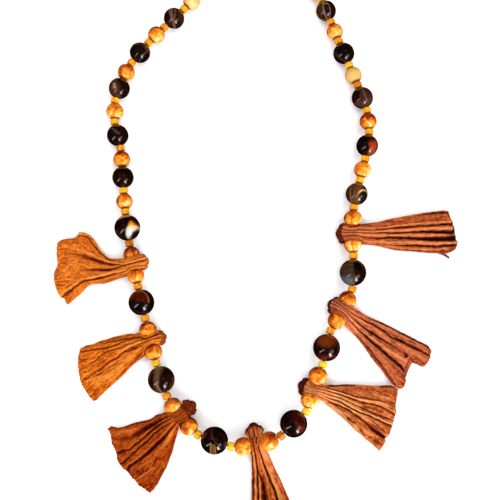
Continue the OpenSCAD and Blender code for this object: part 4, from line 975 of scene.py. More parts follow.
def make_fan(k):
    """One strip of cloth folded over the thread: outer end of the lower layer,
    under the thread, round the nose, over the thread, outer end of the upper one."""
    f, i = FANS_DRAWN[k], FANS[k]
    view, seed = f["view"], 5.3 * k + 1.7
    o, s = soft_mid(i), soft_dir(i)
    gap = LENGTHS[i] / 2
    o2 = Vector((o.x, o.y))
    past, crease, head_end, shift, pleats = STRAPS[k]

    def over_bead(by):
        """Height at which cloth lies on a light bead that far past its end."""
        return max(7.4, 6.77 + 4 * math.sqrt(max(0.0, 1 - ((3.79 - by) / 3.64) ** 2)))

    crown = (over_bead(past - shift) + over_bead(past + shift)) / 2
    lean_over = (over_bead(past + shift) - over_bead(past - shift)) / 2

    def lie(d):
        return 2.9 + (crown - 2.9) * (1 - ease((d - 0.5) / 11.5))

    def place(p):
        z = 3.5
        for _ in range(3):
            q = drawn(view, p, z + 0.3)
            z = lie((Vector((q.x, q.y)) - o2).length)
        return Vector((q.x, q.y))

    a = smooth_line([place(p) for p in f["a"]], NU)
    b = smooth_line([place(p) for p in f["b"]], NU)
    end = smooth_line([place(p) for p in f["end"]], NC)
    low_end = smooth_line([place(p) for p in f.get("low_end", f["end"])], NC)
    mid = (a[0] + b[0]) / 2
    side = (b[0] - a[0]).normalized()
    along = Vector((s.x, s.y)).normalized()
    if along.dot(side) < 0:
        along = -along
    out = Vector((along.y, -along.x))
    reach = ((a[-1] + b[-1]) / 2 - mid).length
    wide = sum((q - p).length for p, q in zip(end, end[1:]))

    def cross(x, foot=0.88):
        """Share of the half width that x of a neck's cloth reaches, and how far its side hangs down."""
        m = abs(x)
        if m <= 0.74:
            return x / 0.74, 0.0
        q = (m - 0.74) / 0.26
        return math.copysign(1 - (1 - foot) * ease(q), x), 0.35 * q + 0.65 * q * q

    def flat(t, c, low=False):
        x = t * NU
        j = min(int(x), NU - 1)
        pa, pb = a[j].lerp(a[j + 1], x - j), b[j].lerp(b[j + 1], x - j)
        w = ease((t - 0.35) / 0.65)
        y = c * NC
        h = min(int(y), NC - 1)
        edge = low_end if low else end
        e = edge[h].lerp(edge[h + 1], y - h)
        e0 = a[-1].lerp(b[-1], c)
        return pa.lerp(pb, c) + (e - e0) * w, (pb - pa).length

    show_a, show_b = f["show"]
    up, ups = [], []
    for j in range(NU + 1):
        t = j / NU
        width = flat(t, 0.5)[1]
        ia, ib = show_a / width * ease(t * 3), show_b / width
        row = []
        neck_like = 1 - ease(t / 0.30)
        for h in range(NC + 1):
            c = h / NC
            across, sag = cross(2 * c - 1)
            c2 = c + neck_like * (0.5 + 0.5 * across - c)
            p, _ = flat(t, ia + (1 - ia - ib) * c2)
            if j > NU - 11:
                # a torn, slightly ragged end
                rag = 0.32 * noise.noise(Vector((c * wide * 0.9, seed, 0))) + 0.22 * noise.noise(Vector((c * wide * 2.6, seed, 4)))
                p = p + (p - o2).normalized() * rag * ease((j - NU + 11) / 11)
            rough = 0.14 * noise.noise(Vector((t * reach * 0.8, seed + 3 * c, 9)))
            if c < 0.04 or c > 0.96:
                p = p + side * rough * (1 if c < 0.5 else -1) * ease(t * 4)
            d = (p - o2).length
            x = 2 * c - 1
            z = lie(d) - (1 - neck_like) * (0.25 + 1.3 * (1 - ease(d / 13))) * x * x - neck_like * (0.14 * min(1, abs(x) / 0.74) ** 2 + 1.5 * sag)
            row.append(Vector((p.x, p.y, z)))
        up.append(row)
        ups.append(width * (1 - ia - ib))
    lower = []
    for j in range(NL + 1):
        t = 0.985 * (1 - j / NL)
        row = []
        for h in range(NC + 1):
            c = h / NC
            ia = 0.0 if show_a and t > 0.15 else 0.035
            p, _ = flat(t, ia + (0.965 - ia) * c, True)
            row.append(Vector((p.x, p.y, 0.66)))
        lower.append(row)

    reach_in, head_half, lean = HEADS[k]

    def arch(out_by, half, z, foot, drop, pull=0.0, skew=0.0, way=None, centre=None, roll=1.0, tilt=0.0):
        way, centre = way or along, centre or (o2 + out * out_by)
        row = []
        for h in range(NC + 1):
            x = 2 * h / NC - 1
            across, sag = cross(x, foot / half)
            level = x / 0.74 * 0.90 if abs(x) <= 0.74 else math.copysign(0.90 + 0.10 * (abs(x) - 0.74) / 0.26, x)
            across += (1 - roll) * (level - across)
            p = centre + way * (half * across + skew) + out * (pull * abs(across) ** 2.0)
            row.append(Vector((p.x, p.y, z + tilt * across - 0.14 * min(1, abs(x) / 0.74) ** 2 - drop * sag)))
        return row

    neck = gap + past
    bottom, top = 0.72, 6.9
    zc, rz = (bottom + top) / 2, (top - bottom) / 2
    back_by = reach_in - 1.9
    stations = [lower[-3], lower[-1],
                arch(2.6, 3.5, 0.72, 3.5, 0.0), arch(-1.5, 3.3, 0.70, 3.3, 0.0, 0.3, 0.3 * lean),
                arch(-back_by + 0.5, 0.80 * head_half, 0.74, 0.80 * head_half, 0.0, 2.2, 0.8 * lean)]
    for deg in (-50, 0, 45):
        r = math.radians(deg)
        wider = head_half * (1 - (0.26 if deg < 0 else 0.10) * math.sin(r) ** 2)
        stations.append(arch(-back_by - 1.9 * math.cos(r), wider, zc + rz * math.sin(r), wider - 0.9, 0.3 + 0.5 * (1 + math.sin(r)),
                             2.7 + 0.35 * (reach_in - 6.5), lean))
    dist0 = (mid - o2).length

    def ahead(x, half, z, foot, drop, roll, tilt):
        return arch(0, half, z, foot, drop, way=along.lerp(side, x).normalized(), centre=o2.lerp(mid, x) + along * shift * (1 - x),
                    roll=roll, tilt=tilt)

    stations += [arch(-back_by, head_half - 0.2, top, head_half - 0.8, 1.3, 1.7, 0.8 * lean),
                 arch(-2.8, 0.5 * (neck + head_half), crown - 0.6, 0.5 * (neck + head_half) - 0.4, 1.0, 0.3, 0.35 * lean + 0.7 * shift, roll=0.6,
                      tilt=0.6 * lean_over),
                 arch(-1.2, neck, crown, neck, 0.1, 0, 0.1 * lean + shift, roll=0.0, tilt=lean_over),
                 ahead(1.3 / dist0, neck, crown, neck, 0.1, 0.0, lean_over),
                 ahead(3.1 / dist0, 0.5 * (neck + 0.2 + ups[0] / 2), crown - 0.4, 0.47 * (neck + 0.2 + ups[0] / 2), 0.6, 0.4, 0.5 * lean_over),
                 up[0], up[4]]
    parts = [4, 4, 4, 4, 4, 4, 4, 4, 4, 4, 4, 4]
    rows = [(r, -1.0, None) for r in lower[:-1]]
    total = sum(parts)
    done = 0
    for n, steps in zip(range(1, len(stations) - 2), parts):
        for j in range(steps):
            rows.append(([Vector(bend(stations[n - 1][h], stations[n][h], stations[n + 1][h], stations[n + 2][h], j / steps)) for h in range(NC + 1)],
                         done / total, None))
            done += 1
    first_up = len(rows)
    rows += [(r, 2.0, j) for j, r in enumerate(up)]
    count = len(rows)

    # the folds as shares of the width, at shares of the length
    def share_of(p):
        best, at_ = 1e9, None
        for j in range(0, NU + 1, 4):
            for h in range(0, NC + 1, 4):
                d = (up[j][h].x - p.x) ** 2 + (up[j][h].y - p.y) ** 2
                if d < best:
                    best, at_ = d, (j, h)
        j0, h0 = at_
        for j in range(max(0, j0 - 4), min(NU, j0 + 4) + 1):
            for h in range(max(0, h0 - 4), min(NC, h0 + 4) + 1):
                d = (up[j][h].x - p.x) ** 2 + (up[j][h].y - p.y) ** 2
                if d < best:
                    best, at_ = d, (j, h)
        return at_[0] / NU, at_[1] / NC, math.sqrt(best)

    folds = []
    for pts, w, dep, dark, lip_a, lip_b, over in f["folds"]:
        tc = []
        for p in smooth_line([place(q) for q in pts], 3 * len(pts)):
            t, c, far = share_of(p)
            if t == 0 and far > 0.35:
                continue
            if not tc or t > tc[-1][0] + 0.004:
                tc.append((t, c))
        if len(tc) > 1:
            folds.append((tc, w, dep, dark, lip_a, lip_b, over))
    marks = []
    for pts, w, dep, dark in f["marks"]:
        flatp = [tuple(place(q)) for q in pts]
        xs, ys = [q[0] for q in flatp], [q[1] for q in flatp]
        marks.append((flatp, w, dep, dark, (min(xs) - 3 * w, min(ys) - 3 * w, max(xs) + 3 * w, max(ys) + 3 * w)))

    def fold_here(fold, t, neckness):
        """Share of the width, half width, depth and darkness of a fold at t, or None."""
        tc, w, dep, dark, lip_a, lip_b, over = fold
        t0, t1 = tc[0][0], tc[-1][0]
        if t < t0:
            if not over and neckness is None and t < t0 - 0.03:
                return None
            if neckness is not None and not over:
                return None
            fade = 1.0 if over else 1 - (t0 - t) / 0.03
            return tc[0][1], w[0], dep[0] * fade, dark[0] * fade
        if t > t1:
            if t1 > 0.955:
                return tc[-1][1], w[2], dep[2], dark[2]
            if t > t1 + 0.05:
                return None
            fade = 1 - (t - t1) / 0.05
            return tc[-1][1], w[2], dep[2] * fade, dark[2] * fade
        x = (t - t0) / max(1e-6, t1 - t0)
        for (ta, ca), (tb, cb) in zip(tc, tc[1:]):
            if ta <= t <= tb:
                c = ca + (cb - ca) * (t - ta) / max(1e-6, tb - ta)
                break
        else:
            c = tc[-1][1]
        fade = 1.0 if over or t0 < 0.03 else ease((t - t0) / 0.05 + 0.2)
        return c, three(w, x), three(dep, x) * fade, three(dark, x) * fade

    # the relief of each point
    run = 0.0
    verts_out, verts_in = [], []
    beside = [(bead_mid(n), bead_dir(n), LENGTHS[n] / 2) for n in (i - 1, i + 1)]
    fold_v, lip_v, head_v, cloth_v = [], [], [], []
    for n, (row, where, j) in enumerate(rows):
        if n:
            run += (row[NC // 2] - rows[n - 1][0][NC // 2]).length
        upper = j is not None
        t = j / NU if upper else 0.0
        on_neck = None if upper else where
        if upper:
            width = ups[j]
            strength = 1.0
        else:
            width = max((row[-1] - row[0]).length, 2 * gap + 1.5)
            # the folds tighten over the thread and die out under it
            strength = 0.12 if where < 0.25 else 0.03 + 0.77 * ease((where - 0.50) / 0.20)
        here = []
        if upper or where > 0.2:
            for g, fold in enumerate(folds):
                got = fold_here(fold, t, on_neck)
                if got:
                    # creases wander, open and close, and are narrower where the cloth is gathered
                    fc, w, dep, dark = got
                    q = 3.7 * g + seed
                    fc += (0.20 * noise.noise(Vector((run * 0.30, q, 0))) + 0.10 * noise.noise(Vector((run * 0.9, q, 3)))) / width * ease(t * 6)
                    w *= (0.86 if dep > 0 else 1.0) * (1 + 0.30 * noise.noise(Vector((run * 0.55, q, 6)))) * (0.72 if not upper else 0.72 + 0.28 * ease(t * 4))
                    dark *= (0.95 + 0.55 * noise.noise(Vector((run * 0.42, q, 9)))) * (crease if not upper else crease + (1 - crease) * ease(t * 4)) * (1 if upper else ease((where - head_end + 0.04) / 0.12))
                    here.append(((fc, w, dep, dark), fold[4], fold[5]))
        before_row = rows[max(0, n - 1)][0]
        after_row = rows[min(count - 1, n + 1)][0]
        # the nose, where the cloth turns round the thread: painted shade on its colour, and a small tuck in its shape
        head = 0.0 if upper else ease((where - 0.27) / 0.08) * (1 - ease((where - head_end) / 0.05))
        for h in range(NC + 1):
            c = h / NC
            p = row[h]
            way = (after_row[h] - before_row[h]).cross(row[min(NC, h + 1)] - row[max(0, h - 1)]).normalized()
            lift, fold_dark, light = 0.0, 0.0, 0.0
            # painted shade along each crease, and painted highlight on its lips and along each crest
            for (fc, w, dep, dark), lip_a, lip_b in here:
                x = (c - fc) * width
                if abs(x) > 4.5 * w:
                    continue
                near = bell(x / w)
                if dep > 0:
                    lift -= dep * (0.82 * near + 0.18 * bell(x / (2.6 * w)))
                    fold_dark += dark * (0.85 * bell(x / (0.72 * w)) + 0.24 * bell(x / (1.7 * w)))
                    lip = lip_a if x < 0 else lip_b
                    if lip:
                        b2 = lip * bell((abs(x) - 2.0 * w) / (0.75 * w))
                        lift += 0.22 * b2 * min(1, dep)
                        light += 0.55 * b2
                else:
                    lift -= dep * near
                    light -= dark * near
            lift *= strength
            gather = 1 - ease(t / 0.40) if upper else ease((where - head_end + 0.02) / 0.10)
            if gather > 0:
                # small pleats where the cloth is gathered on the thread, with painted shade in their creases and
                # painted highlight on their tops
                pleat = noise.noise(Vector((c * 10.5, run * 0.035, seed + 60)))
                thin = max(0.0, 1 - abs(pleat) / 0.07)
                lift += (0.22 * pleat - 0.16 * thin) * gather * pleats
                fold_dark += gather * crease * 0.42 * thin * pleats
                if pleat > 0.10:
                    light += gather * min(0.45, 1.6 * (pleat - 0.10))
            # small dents and rises: painted shade along the dark ones, painted highlight along the pale ones
            if upper:
                for pts, w, dep, dark, box in marks:
                    if box[0] < p.x < box[2] and box[1] < p.y < box[3]:
                        near = bell(to_segments(p.x, p.y, pts) / w)
                        lift -= dep * near
                        if dark > 0:
                            fold_dark += dark * near * 0.8
                        else:
                            light -= dark * near * 0.7
            # long wrinkles along the fibres, short ones across, and a slow swell
            cx, cy = (c - 0.5) * (0.5 * wide + 0.5 * min(width, wide)), run
            fine = noise.noise(Vector((cx * 1.5, cy * 0.16, seed)))
            finer = noise.noise(Vector((cx * 3.4 + 0.6 * fine, cy * 0.42, seed + 20)))
            cross = noise.noise(Vector((p.x * 0.62, p.y * 0.62, p.z * 0.4 + seed)))
            swell = noise.noise(Vector((p.x * 0.13, p.y * 0.13, seed + 40)))
            tight = 1.0 if upper else 0.30 + 0.70 * ease((where - 0.60) / 0.4)
            lift += tight * (0.16 * fine + 0.09 * finer + 0.12 * cross) + (0.30 * swell * ease(t * 3) if upper else 0.0)
            if not upper and where < 0.25:
                lift = max(-0.22, min(0.16, lift))
            if upper:
                floor_gap = 1.62 - (p.z + lift)
                if floor_gap > 0:
                    lift += floor_gap
            if where < 0:
                lift = 0.10 * fine + 0.10 * cross
            if not upper:
                lift *= ease(min(h, NC - h) / 8)
                # the nose tucks in under the edge of the pleats
                lift = max(-0.45, lift - 0.30 * head)
            half = WALL / 2 * (1 + 0.12 * cross)
            if h in (0, NC) or n in (0, count - 1):
                half *= 0.62
            elif h in (1, NC - 1) or n in (1, count - 2):
                half *= 0.9
            # the cloth lies against the beads on each side, and not in them
            outside, inside = p + way * (lift + half), p + way * (lift - half)
            for centre, axis, long_half in beside:
                push, least = None, 1.03
                for v in (outside, inside):
                    d = v - centre
                    x = d.dot(axis)
                    m_ = math.sqrt((x / long_half) ** 2 + (d - axis * x).length_squared / 16.0)
                    if m_ < least:
                        push, least = d * (1.03 / max(0.2, m_) - 1), m_
                if push:
                    outside, inside = outside + push, inside + push
            verts_out.append(outside)
            verts_in.append(inside)
            fold_v.append(max(0.0, min(1.0, fold_dark)))
            lip_v.append(max(0.0, min(1.0, light * (1 - min(1.0, max(0.0, fold_dark))))))
            head_v.append(head)
            cloth_v.append((run, cx, 60.0 if where < 0 else 0.0))
    low = min(min(v.z for v in verts_out), min(v.z for v in verts_in))
    if low < 0.05:
        for group in (verts_out, verts_in):
            for v in group:
                if v.z < 0.05:
                    v.z = 0.05
    m = len(verts_out)
    cols = NC + 1
    faces = []
    for n in range(count - 1):
        for h in range(NC):
            q = (n * cols + h, (n + 1) * cols + h, (n + 1) * cols + h + 1, n * cols + h + 1)
            faces.append(q)
            faces.append(tuple(m + x for x in reversed(q)))
    for n in range(count - 1):
        faces.append((n * cols, m + n * cols, m + (n + 1) * cols, (n + 1) * cols))
        e = n * cols + NC
        faces.append((e, e + cols, m + e + cols, m + e))
    for h in range(NC):
        faces.append((h, h + 1, m + h + 1, m + h))
        e = (count - 1) * cols + h
        faces.append((e, m + e, m + e + 1, e + 1))
    inner = [0.0] * m + [1.0] * m
    attrs = dict(fold=fold_v * 2, lip=lip_v * 2, head=head_v * 2, cloth=cloth_v * 2, inner=inner)
    verts = verts_out + verts_in
    for pts in f.get("fibres", []):
        # a loose twist of fibre at the edge
        line_ = smooth_line([drawn(view, q, z) for q, z in pts], 16)
        first, ring = len(verts), 8
        for n, q in enumerate(line_):
            d = (line_[min(16, n + 1)] - line_[max(0, n - 1)]).normalized()
            u, w = frame_of(d)
            thick = 0.56 * (1 - 0.20 * (n / 16)) * (0.75 if n in (0, 16) else 1)
            for h in range(ring):
                r = 2 * math.pi * h / ring + 0.45 * n
                verts.append(q + (u * math.cos(r) + w * math.sin(r)) * thick * (1 + 0.25 * math.cos(3 * (r - 0.45 * n))))
                attrs["fold"].append(0.42 + 0.28 * math.cos(3 * (r - 0.45 * n)))
                for key, v in (("lip", 0.0), ("head", 0.0), ("inner", 0.0), ("cloth", (n * 0.4, h * 0.3, 0.0))):
                    attrs[key].append(v)
        for n in range(16):
            for h in range(ring):
                faces.append((first + n * ring + h, first + n * ring + (h + 1) % ring, first + (n + 1) * ring + (h + 1) % ring, first + (n + 1) * ring + h))
        faces.append(tuple(first + h for h in reversed(range(ring))))
        faces.append(tuple(first + 16 * ring + h for h in range(ring)))
    return verts, faces, attrs, wide, run


def cloth_material(name, tones, deep, light, head_painted_shade, seed, rib):
    """Beaten bark: long fibres from the thread outward, blotches, painted shade in the creases, painted highlight on
    the ridges.
    """
    m = Nodes(name)
    q = m.vec("ADD", m.attr("cloth", True), (seed * 13.0, seed * 7.0, 0))
    p = m.vec("ADD", m.place(), (seed * 0.03, seed * 0.02, 0))
    streak = m.noise(m.mapped(q, (0.12, 0.8, 1)), 0.9, 3, 0.58, 0.7)
    stroke = m.noise(m.mapped(q, (0.27, 1.1, 1), (7, 2, 4)), 1.0, 3, 0.5, 1.8)
    fine = m.noise(m.mapped(q, (0.42, 2.4, 1)), 1.0, 5, 0.68, 1.4)
    blotch = m.noise(p, 210, 3, 0.55, 0.8)
    curl = m.noise(p, 620, 4, 0.6, 2.6)
    wide = m.noise(p, 85, 3, 0.5, 0.4)
    ribs = m.noise(m.mapped(q, (1.3, 0.34, 1), (3, 1, 7)), 1.0, 4, 0.6, 1.2)
    v = m.math("ADD", m.math("MULTIPLY", streak, 0.12), m.math("MULTIPLY", fine, 0.16))
    v = m.math("ADD", v, m.math("ADD", m.math("MULTIPLY", blotch, 0.12), m.math("MULTIPLY", curl, 0.18)))
    v = m.math("ADD", v, m.math("ADD", m.math("MULTIPLY", wide, 0.10), m.math("MULTIPLY", ribs, rib)))
    v = m.math("ADD", v, m.math("MULTIPLY", stroke, 0.32 - rib))
    dusk = tuple(0.5 * (x + y) for x, y in zip(tones[0], deep[1]))
    colour = m.ramp(v, [(0.434, dusk), (0.468, tones[0]), (0.494, tones[1]), (0.519, tones[2]), (0.553, tones[3])])
    # single dark fibres
    thin = m.math("ABSOLUTE", m.math("SUBTRACT", m.noise(m.mapped(q, (0.20, 0.95, 1)), 1.0, 3, 0.6, 2.2), 0.5))
    thin = m.math("MULTIPLY", m.step(thin, 0.0, 0.030, 1.0, 0.0), m.step(blotch, 0.42, 0.58))
    colour = m.mix(m.math("MULTIPLY", thin, 0.70), colour, deep[1])
    pale = m.math("ABSOLUTE", m.math("SUBTRACT", m.noise(m.mapped(q, (0.22, 1.0, 1), (5, 9, 2)), 1.0, 3, 0.6, 2.0), 0.5))
    pale = m.math("MULTIPLY", m.step(pale, 0.0, 0.028, 1.0, 0.0), m.step(curl, 0.44, 0.60))
    colour = m.mix(m.math("MULTIPLY", pale, 0.55), colour, light)
    # painted highlight: the ridges and lips of folds are paler
    lip = m.math("MULTIPLY", m.attr("lip"), m.step(fine, 0.30, 0.62, 0.45, 1.0))
    colour = m.mix(m.math("MULTIPLY", lip, 0.85), colour, light)
    # painted shade: the creases are darkened
    fold = m.math("ADD", m.attr("fold"), m.math("MULTIPLY", m.math("SUBTRACT", curl, 0.5), 0.25))
    colour = m.mix(m.step(fold, 0.10, 0.60, 0.0, 0.85), colour, deep[1])
    colour = m.mix(m.step(fold, 0.62, 1.05), colour, deep[0])
    # painted shade: the head, where the cloth turns round the thread, is darkened, with a fuzzy edge
    fuzz = m.noise(p, 1100, 4, 0.7, 1.0)
    head = m.step(m.math("ADD", m.attr("head"), m.math("MULTIPLY", m.math("SUBTRACT", fuzz, 0.5), 0.5)), 0.35, 0.65)
    colour = m.mix(head, colour, m.ramp(fuzz, [(0.38, head_painted_shade[0]), (0.52, head_painted_shade[1]), (0.68, head_painted_shade[2])]))
    m.set(Base_Color=colour, Roughness=m.step(fine, 0.3, 0.7, 0.62, 0.82, "LINEAR"), IOR=1.45)
    m.bsdf.inputs["Specular IOR Level"].default_value = 0.04
    m.bump(m.math("ADD", m.math("MULTIPLY", fine, 0.6), m.math("ADD", m.math("MULTIPLY", curl, 0.4), m.math("MULTIPLY", fuzz, 0.15))), 0.85, 0.0005)
    return m.mat


# [dark, mid, bright, pale], [deepest, crease] painted shade, ridge colour (painted highlight, also the pale fibres),
# [head's dark, mid, pale] painted shade
CLOTHS = [
    [[(0.282, 0.042, 0.0017), (0.414, 0.076, 0.0034), (0.517, 0.114, 0.0071), (0.639, 0.172, 0.0143)], [(0.042, 0.0032, 0.0002), (0.141, 0.0144, 0.0008)], (0.718, 0.288, 0.065),
     [(0.226, 0.032, 0.0025), (0.414, 0.084, 0.0084), (0.62, 0.176, 0.029)]],
    [[(0.259, 0.036, 0.0007), (0.394, 0.067, 0.0014), (0.509, 0.105, 0.0036), (0.634, 0.17, 0.0115)], [(0.048, 0.0034, 0.0002), (0.144, 0.0153, 0.0004)], (0.718, 0.287, 0.047),
     [(0.096, 0.0119, 0.0011), (0.211, 0.034, 0.0043), (0.528, 0.162, 0.032)]],
    [[(0.121, 0.0091, 0.0003), (0.205, 0.021, 0.0007), (0.279, 0.036, 0.001), (0.391, 0.068, 0.0037)], [(0.02, 0.0008, 0.0001), (0.067, 0.003, 0.0002)], (0.582, 0.163, 0.023),
     [(0.056, 0.0046, 0.0003), (0.116, 0.0137, 0.001), (0.279, 0.057, 0.0095)]],
    [[(0.135, 0.0119, 0.0012), (0.252, 0.036, 0.004), (0.387, 0.067, 0.0076), (0.522, 0.115, 0.018)], [(0.0144, 0.0007, 0.0001), (0.054, 0.0026, 0.0003)], (0.679, 0.257, 0.077),
     [(0.027, 0.002, 0.0002), (0.068, 0.0059, 0.0004), (0.171, 0.021, 0.0024)]],
    [[(0.207, 0.028, 0.004), (0.338, 0.061, 0.009), (0.451, 0.102, 0.022), (0.583, 0.174, 0.049)], [(0.0188, 0.0007, 0.0003), (0.089, 0.0074, 0.001)], (0.737, 0.348, 0.125),
     [(0.026, 0.0015, 0.0004), (0.056, 0.0044, 0.0005), (0.113, 0.0133, 0.002)]],
    [[(0.132, 0.0168, 0.0044), (0.238, 0.038, 0.0099), (0.334, 0.061, 0.0165), (0.458, 0.101, 0.032)], [(0.0088, 0.0007, 0.0003), (0.049, 0.0035, 0.0011)], (0.64, 0.217, 0.089),
     [(0.026, 0.0021, 0.0006), (0.057, 0.0049, 0.0011), (0.123, 0.0168, 0.0039)]],
    [[(0.128, 0.0141, 0.0022), (0.23, 0.033, 0.0062), (0.34, 0.063, 0.0141), (0.476, 0.109, 0.03)], [(0.0085, 0.0006, 0.0003), (0.043, 0.0032, 0.0007)], (0.679, 0.221, 0.073),
     [(0.038, 0.0032, 0.0004), (0.085, 0.0102, 0.0018), (0.204, 0.036, 0.0088)]],
]
# The cut of each strip: its flat width along the outer end and its length, in millimetres
fan_facts = []
for k, i in enumerate(FANS):
    tones, deep, light, head_painted_shade = CLOTHS[k]
    fan_mat = cloth_material(f"bark_cloth_{k + 1}", tones, deep, light, head_painted_shade, 1.0 + k, (0.0, 0.0, 0.04, 0.06, 0.10, 0.16, 0.12)[k])
    verts, faces, attrs, wide, run = make_fan(k)
    ob = add_piece(f"cloth_fan_{k + 1}", verts, faces, [fan_mat], [f"fan_{k + 1}"], attrs=attrs)
    fan_facts.append((round(wide, 1), round(run, 1)))

# ---------------------------------------------------------------- thread
def twine(name, points, nodes, mat, radius=THREAD_D / 2, pitch=2.6, ply=3, step=0.5, count=12):
    """Twisted thread along a chain of points."""
    run = [0.0]
    for p, q in zip(points, points[1:]):
        run.append(run[-1] + (q - p).length)
    n = max(2, int(run[-1] / step))
    verts, faces, twist = [], [], []
    k = 0
    for j in range(n + 1):
        s = run[-1] * j / n
        while k < len(run) - 2 and run[k + 1] < s:
            k += 1
        p = points[k].lerp(points[k + 1], (s - run[k]) / max(1e-9, run[k + 1] - run[k]))
        d0 = (points[k + 1] - points[k]).normalized()
        u, w = frame_of(d0)
        for h in range(count):
            a = 2 * math.pi * h / count
            lobe = abs(math.cos(ply / 2 * (a - 2 * math.pi * s / (pitch * ply))))
            r = radius * (0.80 + 0.20 * lobe)
            verts.append(p + (u * math.cos(a) + w * math.sin(a)) * r)
            twist.append(lobe)
    for j in range(n):
        for h in range(count):
            g = (h + 1) % count
            faces.append((j * count + h, (j + 1) * count + h, (j + 1) * count + g, j * count + g))
    faces.append(tuple(range(count)))
    faces.append(tuple(n * count + h for h in reversed(range(count))))
    return add_piece(name, verts, faces, [mat], nodes, attrs=dict(twist=twist))


def twine_material():
    m = Nodes("twine")
    fibre = m.noise(m.place(), 2600, 4, 0.65, 0.8)
    # painted shade: the grooves between the plies are darker and the tops of the plies paler, mixed with fibre noise
    v = m.math("ADD", m.math("MULTIPLY", m.attr("twist"), 0.6), m.math("MULTIPLY", fibre, 0.5))
    m.set(Base_Color=m.ramp(v, [(0.25, (0.045, 0.014, 0.006)), (0.6, (0.15, 0.055, 0.022)), (0.95, (0.32, 0.15, 0.065))]),
          Roughness=m.step(fibre, 0.3, 0.7, 0.7, 0.9, "LINEAR"))
    m.bump(fibre, 0.5, 0.0001)
    return m.mat


twine_mat = twine_material()
last = NF - 1
path = [bead_mid(0) - bead_dir(0) * (LENGTHS[0] / 2)]
path += [p_after(i) for i in range(NF) if not soft(i)]
path.append(soft_mid(last) + soft_dir(last) * (LENGTHS[last] / 2))
twine("thread_front", path, ["thread"], twine_mat)

# ---------------------------------------------------------------- behind the neck
CLASP = CHART.index("C")
clasp_mid, clasp_dir = bead_mid(CLASP), bead_dir(CLASP)
TUCK = 4.0


def back(name, node, beads, rings, dark_key, path):
    for k, i in enumerate(x for x in beads if CHART[x] == "D"):
        mesh = Mesh()
        bead(mesh, i, lump=0.028, freq=1.3, seed=61.0 + 3 * len(dark_key) + i, count=64, arcs=32)
        add_piece(f"{name}_dark_bead", mesh.v, mesh.f, [dark_material(dark_key, bead_mid(i), dia(i) / 2, 0.7 * i)], [node], attrs=mesh.at)
    mesh = Mesh()
    for i in beads:
        if CHART[i] == "L":
            bead(mesh, i, lump=0.016, freq=1.2, seed=80.0 + 1.37 * i, count=56, arcs=26, tone=0.0)
    add_piece(f"{name}_light_beads", mesh.v, mesh.f, [light_wood], [node], attrs=mesh.at)
    mesh = Mesh()
    for i in rings:
        spacer(mesh, i, 1.3 * i, 0.40 + 0.15 * math.sin(i * 2.4))
    add_piece(f"{name}_spacer_rings", mesh.v, mesh.f, [spacer_wood], [node], attrs=mesh.at)
    twine(f"{name}_thread", path, [node], twine_mat)


right = range(NF, CLASP)
left = range(CLASP + 1, N)
right_path = [soft_mid(last) + soft_dir(last) * (LENGTHS[last] / 2 + 0.05)]
right_path += [p_after(i) for i in right if not soft(i)]
right_path.append(clasp_mid - clasp_dir * (CLASP_L / 2 - TUCK))
left_path = [clasp_mid + clasp_dir * (CLASP_L / 2 - TUCK)]
left_path += [p_before(i) for i in left if not soft(i)]
left_path += [p_before(0), bead_mid(0) - bead_dir(0) * (LENGTHS[0] / 2 + 0.05)]
back("back_right_strand", "back_right", [i for i in right if not soft(i)], [i for i in right if CHART[i] == "s"], "D11", right_path)
back("back_left_strand", "back_left", [i for i in left if not soft(i)], [i for i in left if CHART[i] == "s"], "D12", left_path)

